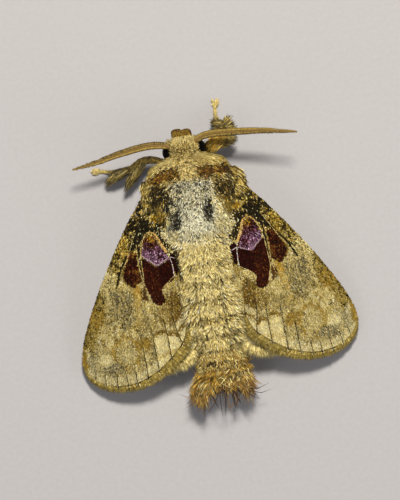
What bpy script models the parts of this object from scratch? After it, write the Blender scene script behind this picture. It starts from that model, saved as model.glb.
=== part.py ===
"""Chalcoscelides castaneipars, a cup moth, at rest with its wings swept back.

All sizes are in millimetres until make_object turns points into metres. The head points
along -Y, +Z is up and the moth's own left side is +X. The feet stand on z = 0.
"""

import math

import bmesh
import bpy
import numpy as np
from mathutils import Vector

MM = 0.001

# From the drawing's origin, midway between the eyes, to the middle of the model's box.
SHIFT_X = 0.25
SHIFT_Y = -11.10

# Gap between two parts that meet face to face.
GAP = 0.3

# Body sections along Y: place, half width, lowest, widest and highest level.
BODY_SQUARENESS = 2.5
BODY_SIDES = 24
HEAD_STATIONS = 12
THORAX_STATIONS = 14
ABDOMEN_STATIONS = 15
HEAD_SECTIONS = (
    (-1.40, 0.60, 4.35, 4.65, 4.95),
    (-1.15, 0.95, 4.15, 4.60, 5.15),
    (-0.90, 1.20, 3.00, 4.10, 5.28),
    (-0.50, 1.50, 2.65, 4.05, 5.40),
    (0.00, 1.75, 2.55, 4.00, 5.50),
    (0.45, 1.90, 2.60, 4.00, 5.52),
    (0.75, 1.95, 2.70, 4.00, 5.45),
)
THORAX_SECTIONS = (
    (1.05, 3.30, 2.55, 4.00, 5.35),
    (1.30, 3.65, 2.15, 4.05, 5.65),
    (1.90, 4.00, 1.75, 4.15, 5.95),
    (2.60, 4.40, 1.55, 4.20, 6.15),
    (3.30, 4.75, 1.45, 4.25, 6.35),
    (3.90, 4.75, 1.40, 4.25, 6.45),
    (4.60, 4.30, 1.35, 4.25, 6.50),
    (5.60, 3.70, 1.35, 4.20, 6.45),
    (7.00, 3.25, 1.35, 4.10, 6.25),
    (8.10, 2.85, 1.40, 4.00, 5.95),
    (8.60, 2.60, 1.50, 3.90, 5.75),
)
ABDOMEN_SECTIONS = (
    (8.90, 2.45, 1.55, 3.60, 5.60),
    (10.00, 2.50, 1.35, 3.30, 5.55),
    (12.00, 2.50, 1.20, 3.10, 5.35),
    (14.00, 2.48, 1.15, 3.00, 5.05),
    (16.00, 2.45, 1.10, 2.90, 4.75),
    (18.00, 2.42, 1.10, 2.75, 4.45),
    (19.60, 2.38, 1.15, 2.70, 4.30),
    (20.60, 2.35, 1.25, 2.70, 4.20),
    (21.60, 2.15, 1.40, 2.70, 4.00),
    (22.60, 1.55, 1.80, 2.70, 3.60),
)

# Outline of the tail tuft outside its core.
TAIL_SECTIONS = (
    (18.60, 2.42, 1.10, 2.70, 4.40),
    (20.20, 2.48, 1.10, 2.70, 4.35),
    (21.60, 2.72, 1.05, 2.70, 4.40),
    (22.80, 3.00, 1.00, 2.70, 4.40),
    (24.20, 3.15, 1.00, 2.70, 4.35),
    (25.50, 3.00, 1.10, 2.70, 4.20),
    (27.00, 2.60, 1.40, 2.70, 3.90),
)

# Coat locks: flat, thickest in the middle, sunk into the body at the root.
LOCK_HALF_THICKNESS = 0.25
LOCK_SINK = 0.40
LOCK_WIDTHS = (0.35, 0.95, 1.00, 0.66)
LOCK_THICKNESSES = (0.5, 1.0, 1.0, 0.7)
LOCK_HEIGHTS = (-1.0, -0.10, 0.45, 0.85, 1.0)
SEED = 17

# How uneven the rows of locks are: place, angle, sideways sweep and share of the length.
ROW_PLACE_SPREAD = 0.15
ROW_ANGLE_SPREAD = 3.0
ROW_SWAY = 4.0
ROW_LENGTHS = (0.88, 1.06)
TAIL_PLACE_SPREAD = 0.2
TAIL_STEP_SPREAD = 0.15
TAIL_SWAY = 7.0
TAIL_LENGTHS = (0.80, 1.12)
LEG_LOCK_LENGTHS = (0.86, 1.04)

# Tiers of the tail tuft: root place, count, length, lift, half width, share of the outline's size.
TAIL_TIERS = (
    (18.90, 10, 2.9, 0.22, 0.66, 1.00),
    (20.30, 11, 3.2, 0.30, 0.66, 0.98),
    (21.40, 9, 3.3, 0.20, 0.62, 0.92),
    (21.90, 5, 3.0, 0.15, 0.55, 0.60),
    (22.20, 2, 2.6, 0.10, 0.45, 0.22),
)
# Longest hairs of the tail: angle round the body, root place, length.
STRAY_LIFT = 0.1
STRAY_HALF_WIDTH = 0.34
STRAY_SHARE = 0.85
TAIL_STRAYS = ((28.0, 21.7, 4.2), (40.0, 21.8, 3.4), (142.0, 21.6, 4.7), (155.0, 21.7, 4.3), (100.0, 21.7, 3.2))

# Rows of locks on the thorax: root place, first and last angle, count, length, lift, half width.
THORAX_ROWS = (
    (1.45, 32.0, 148.0, 8, 2.0, 0.26, 0.60),
    (2.90, 34.0, 54.0, 2, 2.3, 0.22, 0.66),
    (2.90, 126.0, 146.0, 2, 2.3, 0.22, 0.66),
    (3.20, 68.0, 112.0, 3, 2.3, 0.14, 0.52),
    (4.40, 38.0, 58.0, 2, 2.5, 0.22, 0.55),
    (4.40, 122.0, 142.0, 2, 2.5, 0.22, 0.55),
    (5.20, 62.0, 118.0, 4, 2.2, 0.16, 0.50),
    (6.80, 46.0, 134.0, 5, 2.4, 0.42, 0.56),
)

# Forward tuft over the face.
FACE_ROWS = ((-0.15, 62.0, 118.0, 4, -1.05, 0.10, 0.30), (-0.55, 66.0, 114.0, 4, -0.95, 0.06, 0.24))

# Eyes, set in sockets that follow their shape.
EYE_RADII = (0.72, 0.84, 0.86)
EYE_CENTRE = (1.42, 0.08, 4.00)
EYE_RINGS = 8
EYE_SIDES = 14

# Labial palps, turned up in front of the face, with their half widths.
PALP_ROUTE = ((0.56, -0.72, 2.35), (0.57, -1.25, 2.60), (0.58, -1.62, 3.10), (0.58, -1.66, 3.75))
PALP_HALF_WIDTHS = ((0.0, 0.22), (0.35, 0.38), (0.7, 0.42), (1.0, 0.24))
PALP_STATIONS = 8
PALP_SIDES = 10

# Feelers: route from the brow to the tip, with half the width of the double comb.
FEELER_ROUTES = {
    "left": (
        (1.30, -0.82, 5.00),
        (1.90, -1.00, 5.05),
        (2.80, -1.02, 5.08),
        (4.50, -0.90, 5.05),
        (6.50, -0.62, 5.00),
        (8.50, -0.17, 4.90),
        (11.00, 0.12, 4.70),
    ),
    "right": (
        (1.30, -0.82, 5.00),
        (1.80, -0.98, 5.10),
        (2.60, -1.00, 5.28),
        (4.00, -0.90, 5.65),
        (6.00, -0.67, 6.10),
        (8.00, -0.35, 6.50),
        (11.00, 0.30, 7.00),
    ),
}
FEELER_HALF_WIDTH = ((0.00, 0.20), (0.08, 0.30), (0.45, 0.29), (0.70, 0.22), (0.90, 0.12), (1.00, 0.06))
FEELER_HALF_THICKNESS = 0.25
FEELER_STATIONS = 37
FEELER_SIDES = 6
FEELER_NOTCH = 0.72

# The wings' low roof: height of the upper face beside the body, and how it falls outwards.
WING_THICKNESS = 0.53
WING_RIM_THICKNESS = 0.32
WING_RIDGE_X = 2.3
WING_RIDGE_Z = 5.2
WING_SLOPE = 0.362
WING_CAMBER = 0.35
WING_SPAN_X = 11.6
HINDWING_DROP = 0.88
WING_ROOT_LEVEL = 4.2
VEIN_HEIGHT = 0.13
VEIN_HALF_WIDTH = 0.16
VEIN_HALF_SHARE = 0.012
VEIN_CROWDING = 0.35
WIDE_PANEL = 0.09
FRINGE_STEP = 0.10
FRINGE_START = 0.20
FRINGE_NOTCH = 0.88
EDGE_POINTS = 41
EDGE_STEP = 0.01
ROOT_STEPS = 6

# The forewing's edges in its own plan: along the wing from its hinge, and across it to the rear.
FOREWING_COSTA = ((5.3, -1.95), (10.3, -1.98), (14.1, -1.75), (16.9, -1.35), (18.4, -0.90))
FOREWING_TERMEN = (
    (18.40, -0.90),
    (19.15, -0.40),
    (19.70, 0.30),
    (19.95, 1.60),
    (19.60, 3.25),
    (18.40, 5.10),
    (16.50, 6.48),
    (14.50, 7.25),
    (12.70, 7.60),
    (11.15, 7.25),
)
FOREWING_INNER = ((5.9, 4.45), (7.5, 5.65), (9.3, 6.60), (11.15, 7.25))
FOREWING_ROOT_Y = (3.85, 8.90)
FOREWING_ROWS = 10

# Width of the fringe at shares of the outer edge, from the tip to the rear.
FOREWING_FRINGE = ((0.0, 0.04), (0.1, 0.12), (0.18, 0.38), (0.46, 0.60), (0.69, 0.85), (0.87, 1.00), (1.0, 0.25))

# Veins: place across the root and at the outer edge, and where the ridge starts and ends.
FOREWING_VEINS = (
    ("subcosta", 0.10, 0.050, 0.00, 0.90),
    ("radius_3", 0.19, 0.200, 0.00, 1.00),
    ("radius_4", 0.23, 0.275, 0.60, 1.00),
    ("radius_5", 0.27, 0.345, 0.50, 1.00),
    ("media_1", 0.33, 0.415, 0.50, 1.00),
    ("media_2", 0.39, 0.480, 0.50, 1.00),
    ("media_3", 0.45, 0.550, 0.50, 1.00),
    ("cubitus_1", 0.51, 0.630, 0.00, 1.00),
    ("cubitus_2", 0.56, 0.730, 0.42, 1.00),
    ("anal", 0.84, 0.835, 0.00, 1.00),
)

# The cross vein that closes the cell: its row and the places across the root that it joins.
FOREWING_CELL = (5, 0.19, 0.51)

# Each forewing's hinge in plan, and its angle back from straight out to the rear.
FOREWING_PLACING = {"left": ((2.6, 3.4), 32.9), "right": ((2.6, 3.6), 34.75)}

# The hindwing's edges in the body's plan.
HINDWING_COSTA = ((6.3, 9.6), (9.0, 12.8), (10.6, 16.0), (10.6, 18.2))
HINDWING_TERMEN = ((10.6, 18.2), (9.4, 19.9), (7.2, 20.5), (5.0, 20.3), (3.7, 20.0), (2.9, 19.4))
HINDWING_INNER = ((2.9, 11.0), (2.75, 14.0), (2.5, 17.0), (2.5, 18.6), (2.9, 19.4))
HINDWING_FRINGE = ((0.0, 0.04), (0.1, 0.45), (0.5, 0.60), (0.85, 0.75), (1.0, 0.30))
HINDWING_ROOT_Y = (7.05, 8.30)
HINDWING_ROWS = 6
HINDWING_VEINS = (
    ("subcosta", 0.14, 0.10, 0.00, 1.00),
    ("radius", 0.30, 0.28, 0.00, 1.00),
    ("media", 0.44, 0.46, 0.45, 1.00),
    ("cubitus", 0.58, 0.64, 0.00, 1.00),
    ("anal", 0.80, 0.82, 0.00, 1.00),
)
HINDWING_CELL = (3, 0.30, 0.58)

# Legs: route of the joints from beside the body to the foot.
LEG_ROUTES = {
    "foreleg_left": (
        (2.60, 0.60, 2.90),
        (3.50, 0.42, 3.00),
        (4.35, 0.50, 3.00),
        (5.20, 0.92, 2.85),
        (6.20, 1.00, 2.10),
        (7.10, 0.95, 1.10),
        (7.70, 0.80, 0.36),
        (8.15, 0.68, 0.17),
        (8.90, 0.55, 0.17),
    ),
    "foreleg_right": (
        (2.50, 0.58, 2.90),
        (3.20, 0.05, 2.95),
        (4.00, -0.38, 2.95),
        (4.40, -0.85, 2.60),
        (4.15, -1.55, 1.75),
        (3.75, -2.25, 0.90),
        (3.62, -2.75, 0.34),
        (3.64, -3.20, 0.17),
        (3.80, -4.05, 0.17),
    ),
    "midleg": (
        (4.30, 4.85, 2.35),
        (5.10, 5.80, 1.95),
        (5.75, 6.90, 1.25),
        (6.15, 7.90, 0.40),
        (6.35, 8.50, 0.17),
        (6.75, 10.20, 0.17),
    ),
    "hindleg": (
        (3.70, 8.30, 2.10),
        (4.35, 9.80, 1.75),
        (4.90, 11.60, 1.10),
        (5.25, 13.10, 0.40),
        (5.40, 13.80, 0.17),
        (5.85, 15.80, 0.17),
    ),
}
LEG_SIDES = 8
LEG_STATIONS = 15
LEG_HALF_WIDTHS = ((0.0, 0.34), (0.3, 0.38), (0.5, 0.33), (0.7, 0.28), (0.92, 0.28), (1.0, 0.22))

# Where the middle and hind legs leave the thorax: place along it and height.
FLANK_ROOTS = {"midleg": (4.20, 2.30), "hindleg": (6.70, 2.10)}
FLANK_REACH = 0.5

# Scale locks of the legs: first and last root, first and last tip, count and half width.
LEG_LOCKS = {
    "foreleg_left": (
        ((5.50, 0.95, 2.62), (6.80, 0.97, 1.40), (7.20, 1.75, 1.85), (8.10, 2.00, 1.20), 5, 0.34),
        ((4.00, 0.47, 3.00), (5.15, 0.90, 2.85), (5.45, 2.15, 2.20), (6.25, 2.85, 1.75), 5, 0.36),
    ),
    "foreleg_right": (
        ((3.30, 0.00, 2.95), (4.20, -0.50, 2.85), (4.50, 0.55, 2.40), (5.30, 0.05, 2.35), 4, 0.42),
        ((4.40, -0.85, 2.58), (4.02, -1.80, 1.45), (5.35, -1.15, 2.05), (4.95, -2.45, 1.25), 5, 0.42),
        ((4.20, -1.45, 1.90), (3.85, -2.10, 1.08), (3.30, -1.75, 1.85), (3.20, -2.35, 1.00), 2, 0.28),
    ),
    "midleg": (((4.70, 5.30, 2.15), (5.75, 6.90, 1.25), (5.55, 6.80, 2.05), (6.50, 8.20, 0.95), 3, 0.36),),
    "hindleg": (((3.95, 8.90, 2.00), (4.90, 11.60, 1.10), (4.60, 10.60, 1.95), (5.55, 13.10, 0.90), 3, 0.36),),
}
LEG_LOCK_ARCH = 0.22

# Colours of the parts, as linear red, green and blue.
COLOURS = {
    "pale_coat": (0.50, 0.45, 0.30),
    "tail_coat": (0.52, 0.42, 0.20),
    "eye": (0.01, 0.01, 0.01),
    "palp": (0.30, 0.19, 0.03),
    "feeler": (0.26, 0.15, 0.05),
    "forewing": (0.40, 0.31, 0.14),
    "hindwing": (0.62, 0.52, 0.30),
    "foreleg": (0.22, 0.16, 0.05),
    "leg": (0.40, 0.32, 0.13),
}
SCALY_ROUGHNESS = 0.75
EYE_ROUGHNESS = 0.15


def smooth_value(table, place, column=1):
    """Value of one column of a table at a place, on a smooth curve through its rows."""
    knots = [row[0] for row in table]
    values = [row[column] for row in table]
    if place <= knots[0]:
        return values[0]
    if place >= knots[-1]:
        return values[-1]
    index = max(i for i in range(len(knots) - 1) if knots[i] <= place)
    span = knots[index + 1] - knots[index]
    along = (place - knots[index]) / span

    def slope(i):
        low = max(i - 1, 0)
        high = min(i + 1, len(knots) - 1)
        return (values[high] - values[low]) / (knots[high] - knots[low])

    square = along * along
    cube = square * along
    return (
        (2 * cube - 3 * square + 1) * values[index]
        + (cube - 2 * square + along) * slope(index) * span
        + (3 * square - 2 * cube) * values[index + 1]
        + (cube - square) * slope(index + 1) * span
    )


def smooth_path(points, count):
    """Points evenly spaced along a smooth curve through the given points."""
    rows = [Vector(point) for point in points]
    lengths = [0.0]
    for first, second in zip(rows, rows[1:]):
        lengths.append(lengths[-1] + (second - first).length)
    table = [(length, *row) for length, row in zip(lengths, rows)]
    fine = []
    steps = 20 * count
    for step in range(steps + 1):
        place = lengths[-1] * step / steps
        fine.append(Vector([smooth_value(table, place, column) for column in range(1, len(table[0]))]))
    run = [0.0]
    for first, second in zip(fine, fine[1:]):
        run.append(run[-1] + (second - first).length)
    path = [fine[0]]
    for step in range(1, count):
        place = run[-1] * step / (count - 1)
        index = min(int(np.searchsorted(run, place)), steps)
        share = (place - run[index - 1]) / (run[index] - run[index - 1])
        path.append(fine[index - 1].lerp(fine[index], min(share, 1.0)))
    return path


def surface_point(sections, y, degrees, share=1.0):
    """Point of a body outline at y, and the way out from it. 0 degrees is left, 90 is up."""
    width, low, middle, high = [smooth_value(sections, y, column) for column in (1, 2, 3, 4)]
    angle = math.radians(degrees)
    power = 2 / BODY_SQUARENESS
    across = math.copysign(abs(math.cos(angle)) ** power, math.cos(angle))
    rise = math.copysign(abs(math.sin(angle)) ** power, math.sin(angle))
    reach = high - middle if rise > 0 else middle - low
    point = Vector((width * across * share, y, middle + reach * rise * share))
    slope_x = math.copysign(abs(across) ** (BODY_SQUARENESS - 1), across) / width
    slope_z = math.copysign(abs(rise) ** (BODY_SQUARENESS - 1), rise) / reach
    return point, Vector((slope_x, 0.0, slope_z)).normalized()


def body_half_width(y, z):
    """Half width of the thorax or abdomen at y and height z, 0 above and below it."""
    sections = THORAX_SECTIONS if y < ABDOMEN_SECTIONS[0][0] - GAP / 2 else ABDOMEN_SECTIONS
    width, low, middle, high = [smooth_value(sections, y, column) for column in (1, 2, 3, 4)]
    reach = high - middle if z > middle else middle - low
    share = min(abs(z - middle) / reach, 1.0)
    return width * (1.0 - share**BODY_SQUARENESS) ** (1.0 / BODY_SQUARENESS)


def loft(rings, pointed=None):
    """Closed mesh through rings of like points. Flat ends, or a tip if one is given."""
    sides = len(rings[0])
    points = [point for ring in rings for point in ring]
    faces = []
    for row in range(len(rings) - 1):
        for step in range(sides):
            near = row * sides + step
            beside = row * sides + (step + 1) % sides
            faces.append((near, beside, beside + sides))
            faces.append((near, beside + sides, near + sides))
    ends = (
        (0, sum(rings[0], Vector((0, 0, 0))) / sides),
        (len(rings) - 1, pointed or sum(rings[-1], Vector((0, 0, 0))) / sides),
    )
    for row, middle in ends:
        points.append(middle)
        for step in range(sides):
            faces.append((row * sides + step, row * sides + (step + 1) % sides, len(points) - 1))
    return points, faces


def tube(path, half_widths, half_heights, sides, upward=(0.0, 0.0, 1.0)):
    """Closed tube of oval section along a path, flat where it would pass below the floor."""
    rings = []
    for index, point in enumerate(path):
        ahead = path[min(index + 1, len(path) - 1)] - path[max(index - 1, 0)]
        across = ahead.cross(Vector(upward)).normalized()
        lift = across.cross(ahead).normalized()
        ring = []
        for step in range(sides):
            angle = 2 * math.pi * (step + 0.5) / sides
            place = point + across * (half_widths[index] * math.cos(angle))
            place = place + lift * (half_heights[index] * math.sin(angle))
            place.z = max(place.z, 0.0)
            ring.append(place)
        rings.append(ring)
    return loft(rings)


def lock(path, ways_out, half_width):
    """Flat lock of four-sided section that tapers along its path to a point."""
    rings = []
    for index in range(len(path) - 1):
        ahead = path[index + 1] - path[max(index - 1, 0)]
        across = ahead.cross(ways_out[index]).normalized()
        lift = across.cross(ahead).normalized()
        side = across * (half_width * LOCK_WIDTHS[index])
        crest = lift * (LOCK_HALF_THICKNESS * LOCK_THICKNESSES[index])
        rings.append([path[index] - side, path[index] + crest, path[index] + side, path[index] - crest])
    return loft(rings, path[-1])


def coat_lock(sections, y, degrees, length, lift, half_width, share, sway):
    """Lock that leaves a body outline at y and lies along it, rising to its tip."""
    path = []
    ways_out = []
    for index, height in enumerate(LOCK_HEIGHTS):
        along = index / (len(LOCK_HEIGHTS) - 1)
        point, way_out = surface_point(sections, y + length * along, degrees + sway * along, share)
        path.append(point + way_out * (height * (LOCK_SINK if height < 0 else lift)))
        ways_out.append(way_out)
    return lock(path, ways_out, half_width)


def make_object(name, shape, colour, roughness=SCALY_ROUGHNESS):
    """Mesh object in metres with its own material, faces pointing out."""
    points, faces = shape
    mesh = bpy.data.meshes.new(name)
    placed = [((x + SHIFT_X) * MM, (y + SHIFT_Y) * MM, z * MM) for x, y, z in points]
    mesh.from_pydata(placed, [], faces)
    work = bmesh.new()
    work.from_mesh(mesh)
    bmesh.ops.recalc_face_normals(work, faces=work.faces)
    work.to_mesh(mesh)
    work.free()
    mesh.shade_smooth()
    thing = bpy.data.objects.new(name, mesh)
    bpy.context.scene.collection.objects.link(thing)
    material = bpy.data.materials.new(name)
    material.use_nodes = True
    shader = material.node_tree.nodes["Principled BSDF"]
    shader.inputs["Base Color"].default_value = (*COLOURS[colour], 1.0)
    shader.inputs["Roughness"].default_value = roughness
    mesh.materials.append(material)
    return thing


def mirrored(shape, side):
    """The same shape on the left, or mirrored to the right."""
    points, faces = shape
    return [Vector((point[0] * side, point[1], point[2])) for point in points], faces


def apply_boolean(target, others, operation, solver="EXACT"):
    """Join others to the target, or cut them from it, and keep the largest closed surface."""
    helpers = bpy.data.collections.new(target.name + "_helpers")
    bpy.context.scene.collection.children.link(helpers)
    for other in others:
        bpy.context.scene.collection.objects.unlink(other)
        helpers.objects.link(other)
    joint = target.modifiers.new("join", "BOOLEAN")
    joint.operation = operation
    joint.solver = solver
    joint.operand_type = "COLLECTION"
    joint.collection = helpers
    bpy.context.view_layer.update()
    result = target.evaluated_get(bpy.context.evaluated_depsgraph_get())
    joined = bpy.data.meshes.new_from_object(result)
    target.modifiers.clear()
    target.data = joined
    for other in others:
        bpy.data.objects.remove(other)
    bpy.data.collections.remove(helpers)
    keep_largest_surface(joined)
    while len(joined.materials) > 1:
        joined.materials.pop()


def keep_largest_surface(mesh):
    """Leave only the closed surface with the largest volume."""
    work = bmesh.new()
    work.from_mesh(mesh)
    bmesh.ops.triangulate(work, faces=work.faces)
    left = set(work.faces)
    largest = []
    largest_volume = 0.0
    while left:
        group = [left.pop()]
        for face in group:
            for edge in face.edges:
                for neighbour in edge.link_faces:
                    if neighbour in left:
                        left.remove(neighbour)
                        group.append(neighbour)
        volume = 0.0
        for face in group:
            first, second, third = (corner.co for corner in face.verts)
            volume += first.dot(second.cross(third)) / 6.0
        if volume > largest_volume:
            largest_volume = volume
            largest = group
    keep = set(largest)
    spare = [face for face in work.faces if face not in keep]
    bmesh.ops.delete(work, geom=spare, context="FACES")
    work.to_mesh(mesh)
    work.free()


def fuse_locks(target, shapes, colour):
    """Fuse coat locks with the part that they grow from."""
    locks = [make_object("lock", shape, colour) for shape in shapes]
    apply_boolean(target, locks, "UNION", "MANIFOLD")


def make_body(name, sections, stations, colour):
    """Head, thorax or abdomen core, lofted along Y through its sections."""
    start = sections[0][0]
    end = sections[-1][0]
    rings = []
    for index in range(stations):
        y = start + (end - start) * index / (stations - 1)
        angles = [360.0 * step / BODY_SIDES for step in range(BODY_SIDES)]
        rings.append([surface_point(sections, y, angle)[0] for angle in angles])
    return make_object(name, loft(rings), colour)


def row_locks(sections, rows, rng):
    """Locks of several rows across the back, a little uneven."""
    shapes = []
    for y, first, last, count, length, lift, half_width in rows:
        for index in range(count):
            angle = first + (last - first) * index / (count - 1)
            angle += rng.uniform(-ROW_ANGLE_SPREAD, ROW_ANGLE_SPREAD)
            place = y + rng.uniform(-ROW_PLACE_SPREAD, ROW_PLACE_SPREAD)
            reach = length * rng.uniform(*ROW_LENGTHS)
            sway = rng.uniform(-ROW_SWAY, ROW_SWAY)
            shapes.append(coat_lock(sections, place, angle, reach, lift, half_width, 1.0, sway))
    return shapes


def tail_locks(rng):
    """Overlapping tiers of the tail tuft, with a few longest hairs."""
    shapes = []
    for y, count, length, lift, half_width, share in TAIL_TIERS:
        start = rng.uniform(0, 360)
        for index in range(count):
            angle = start + 360 * (index + rng.uniform(-TAIL_STEP_SPREAD, TAIL_STEP_SPREAD)) / count
            place = y + rng.uniform(-TAIL_PLACE_SPREAD, TAIL_PLACE_SPREAD)
            reach = length * rng.uniform(*TAIL_LENGTHS)
            sway = rng.uniform(-TAIL_SWAY, TAIL_SWAY)
            shapes.append(coat_lock(TAIL_SECTIONS, place, angle, reach, lift, half_width, share, sway))
    for angle, y, length in TAIL_STRAYS:
        sway = rng.uniform(-TAIL_SWAY, TAIL_SWAY)
        stray = (angle, length, STRAY_LIFT, STRAY_HALF_WIDTH, STRAY_SHARE, sway)
        shapes.append(coat_lock(TAIL_SECTIONS, y, *stray))
    return shapes


def ellipsoid(centre, radii):
    """Closed ellipsoid with its poles to the left and right."""
    rings = []
    for ring in range(1, EYE_RINGS):
        polar = math.pi * ring / EYE_RINGS
        row = []
        for step in range(EYE_SIDES):
            angle = 2 * math.pi * step / EYE_SIDES
            x = centre[0] - radii[0] * math.cos(polar)
            y = centre[1] + radii[1] * math.sin(polar) * math.cos(angle)
            z = centre[2] + radii[2] * math.sin(polar) * math.sin(angle)
            row.append(Vector((x, y, z)))
        rings.append(row)
    points, faces = loft(rings, Vector((centre[0] + radii[0], centre[1], centre[2])))
    first_middle = len(rings) * EYE_SIDES
    points[first_middle] = Vector((centre[0] - radii[0], centre[1], centre[2]))
    return points, faces


def eye_centre(side):
    """Middle of the left or right eye."""
    return (EYE_CENTRE[0] * side, EYE_CENTRE[1], EYE_CENTRE[2])


def make_head(rng):
    """Head with its face tuft, and a socket that holds each eye with an even gap."""
    head = make_body("head", HEAD_SECTIONS, HEAD_STATIONS, "pale_coat")
    fuse_locks(head, row_locks(HEAD_SECTIONS, FACE_ROWS, rng), "pale_coat")
    radii = [radius + GAP for radius in EYE_RADII]
    cutters = [make_object("socket", ellipsoid(eye_centre(side), radii), "eye") for side in (1, -1)]
    apply_boolean(head, cutters, "DIFFERENCE")
    for name, side in (("eye_left", 1), ("eye_right", -1)):
        make_object(name, ellipsoid(eye_centre(side), EYE_RADII), "eye", EYE_ROUGHNESS)


def make_palps():
    """Two stout, scaly palps that curve up in front of the face."""
    path = smooth_path(PALP_ROUTE, PALP_STATIONS)
    widths = [smooth_value(PALP_HALF_WIDTHS, index / (PALP_STATIONS - 1)) for index in range(PALP_STATIONS)]
    for name, side in (("palp_left", 1), ("palp_right", -1)):
        make_object(name, mirrored(tube(path, widths, widths, PALP_SIDES, upward=(1, 0, 0)), side), "palp")


def make_feelers():
    """Feelers that taper from the brow to a fine tip, notched between the teeth of their combs."""
    for name, side in (("left", 1), ("right", -1)):
        path = smooth_path(FEELER_ROUTES[name], FEELER_STATIONS)
        widths = []
        heights = []
        for index in range(FEELER_STATIONS):
            width = smooth_value(FEELER_HALF_WIDTH, index / (FEELER_STATIONS - 1))
            heights.append(min(width, FEELER_HALF_THICKNESS))
            widths.append(width * FEELER_NOTCH if index % 2 else width)
        make_object("antenna_" + name, mirrored(tube(path, widths, heights, FEELER_SIDES), side), "feeler")


def wing_top(x):
    """Height of the forewing's upper face at a distance x from the middle."""
    out = x - WING_RIDGE_X
    bulge = math.sin(math.pi * min(max(out / WING_SPAN_X, 0.0), 1.0))
    return WING_RIDGE_Z - WING_SLOPE * out + WING_CAMBER * bulge


def edge_curve(points):
    """Plan points of one edge at even steps."""
    return smooth_path([Vector(point).to_2d() for point in points], EDGE_POINTS)


def curve_at(curve, share):
    """Point at a share of the way along a list of points."""
    place = min(max(share, 0.0), 1.0) * (len(curve) - 1)
    index = min(int(place), len(curve) - 2)
    return curve[index].lerp(curve[index + 1], place - index)


def wing_columns(veins, root_width):
    """Places across the wing at the root and the outer edge, with each vein's ridge and flanks."""
    columns = [(0.0, 0.0, None)]
    for index, (_, root, tip, start, end) in enumerate(veins):
        root_before, tip_before, _ = columns[-1]
        root_after = veins[index + 1][1] if index + 1 < len(veins) else 1.0
        room = min(root - root_before, root_after - root)
        flank = min(room * VEIN_CROWDING, VEIN_HALF_WIDTH / root_width)
        if tip - tip_before > WIDE_PANEL:
            columns.append(((root + root_before) / 2, (tip + tip_before) / 2, None))
        columns.append((root - flank, tip - VEIN_HALF_SHARE, None))
        columns.append((root, tip, (start, end)))
        columns.append((root + flank, tip + VEIN_HALF_SHARE, None))
    columns.append(((columns[-1][0] + 1.0) / 2, (columns[-1][1] + 1.0) / 2, None))
    columns.append((1.0, 1.0, None))
    return columns


def patch_point(edges, across, along):
    """Point of the patch between a wing's root, front, outer and inner edge."""
    root, costa, termen, inner = edges
    return (
        curve_at(root, across) * (1 - along)
        + curve_at(termen, across) * along
        + curve_at(costa, along) * (1 - across)
        + curve_at(inner, along) * across
        - root[0] * ((1 - along) * (1 - across))
        - root[-1] * ((1 - along) * across)
        - termen[0] * (along * (1 - across))
        - termen[-1] * (along * across)
    )


def fringe_point(edges, across, reach):
    """Point outside the outer edge, square to it."""
    root, _, termen, _ = edges
    ahead = curve_at(termen, across + EDGE_STEP) - curve_at(termen, across - EDGE_STEP)
    outward = Vector((ahead.y, -ahead.x)).normalized()
    if outward.dot(termen[len(termen) // 2] - root[0]) < 0:
        outward.negate()
    return curve_at(termen, across) + outward * reach


def clear_of_body(point, z):
    """The plan point at height z, moved out if it is nearer the body than the gap."""
    return Vector((max(point.x, body_half_width(point.y, z) + GAP), point.y, z))


def wing(edges, fringe, veins, rows, drop, cell):
    """Closed wing: a patch between its four edges, with vein ridges and a thinner fringe outside."""
    columns = wing_columns(veins, (edges[0][-1] - edges[0][0]).length)
    cell_row, cell_start, cell_end = cell
    top = []
    bottom = []
    for row in range(rows + 2):
        along = min(row / (rows - 1), 1.0)
        top_row = []
        bottom_row = []
        for at_root, at_tip, ridge in columns:
            across = at_root + (at_tip - at_root) * along
            lift = 0.0
            thickness = WING_THICKNESS
            point = patch_point(edges, across, along)
            if row >= rows:
                width = smooth_value(fringe, across)
                notch = FRINGE_NOTCH if ridge else 1.0
                point = fringe_point(edges, across, width * (FRINGE_START if row == rows else notch))
                lift = -FRINGE_STEP
                thickness = WING_THICKNESS - FRINGE_STEP if row == rows else WING_RIM_THICKNESS
            elif ridge and ridge[0] <= along <= ridge[1]:
                lift = VEIN_HEIGHT
            elif row == cell_row and cell_start <= at_root <= cell_end:
                lift = VEIN_HEIGHT
            if across in (0.0, 1.0) and row > 0:
                thickness = WING_RIM_THICKNESS
            level = wing_top(point.x) - drop
            top_row.append(clear_of_body(point, level + lift))
            bottom_row.append(clear_of_body(point, level - thickness))
        top.append(top_row)
        bottom.append(bottom_row)
    return sheet_pair(top, bottom)


def sheet_pair(top, bottom):
    """Closed mesh of an upper and a lower sheet split into like triangles, with a rim between."""
    rows = len(top)
    width = len(top[0])
    points = [point for row in top + bottom for point in row]
    lower = rows * width
    faces = []
    for row in range(rows - 1):
        for column in range(width - 1):
            near = row * width + column
            far = near + width
            for face in ((near, near + 1, far + 1), (near, far + 1, far)):
                faces.append(face)
                faces.append(tuple(corner + lower for corner in reversed(face)))
    rim = list(range(width))
    rim += [row * width + width - 1 for row in range(1, rows)]
    rim += [(rows - 1) * width + column for column in range(width - 2, -1, -1)]
    rim += [row * width for row in range(rows - 2, 0, -1)]
    for first, second in zip(rim, rim[1:] + rim[:1]):
        faces.append((first, first + lower, second + lower))
        faces.append((first, second + lower, second))
    return points, faces


def root_line(ends, drop):
    """Plan points along the body's side where a wing starts."""
    line = []
    for step in range(ROOT_STEPS + 1):
        y = ends[0] + (ends[1] - ends[0]) * step / ROOT_STEPS
        line.append((body_half_width(y, WING_ROOT_LEVEL - drop) + GAP, y, 0.0))
    return line


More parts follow.
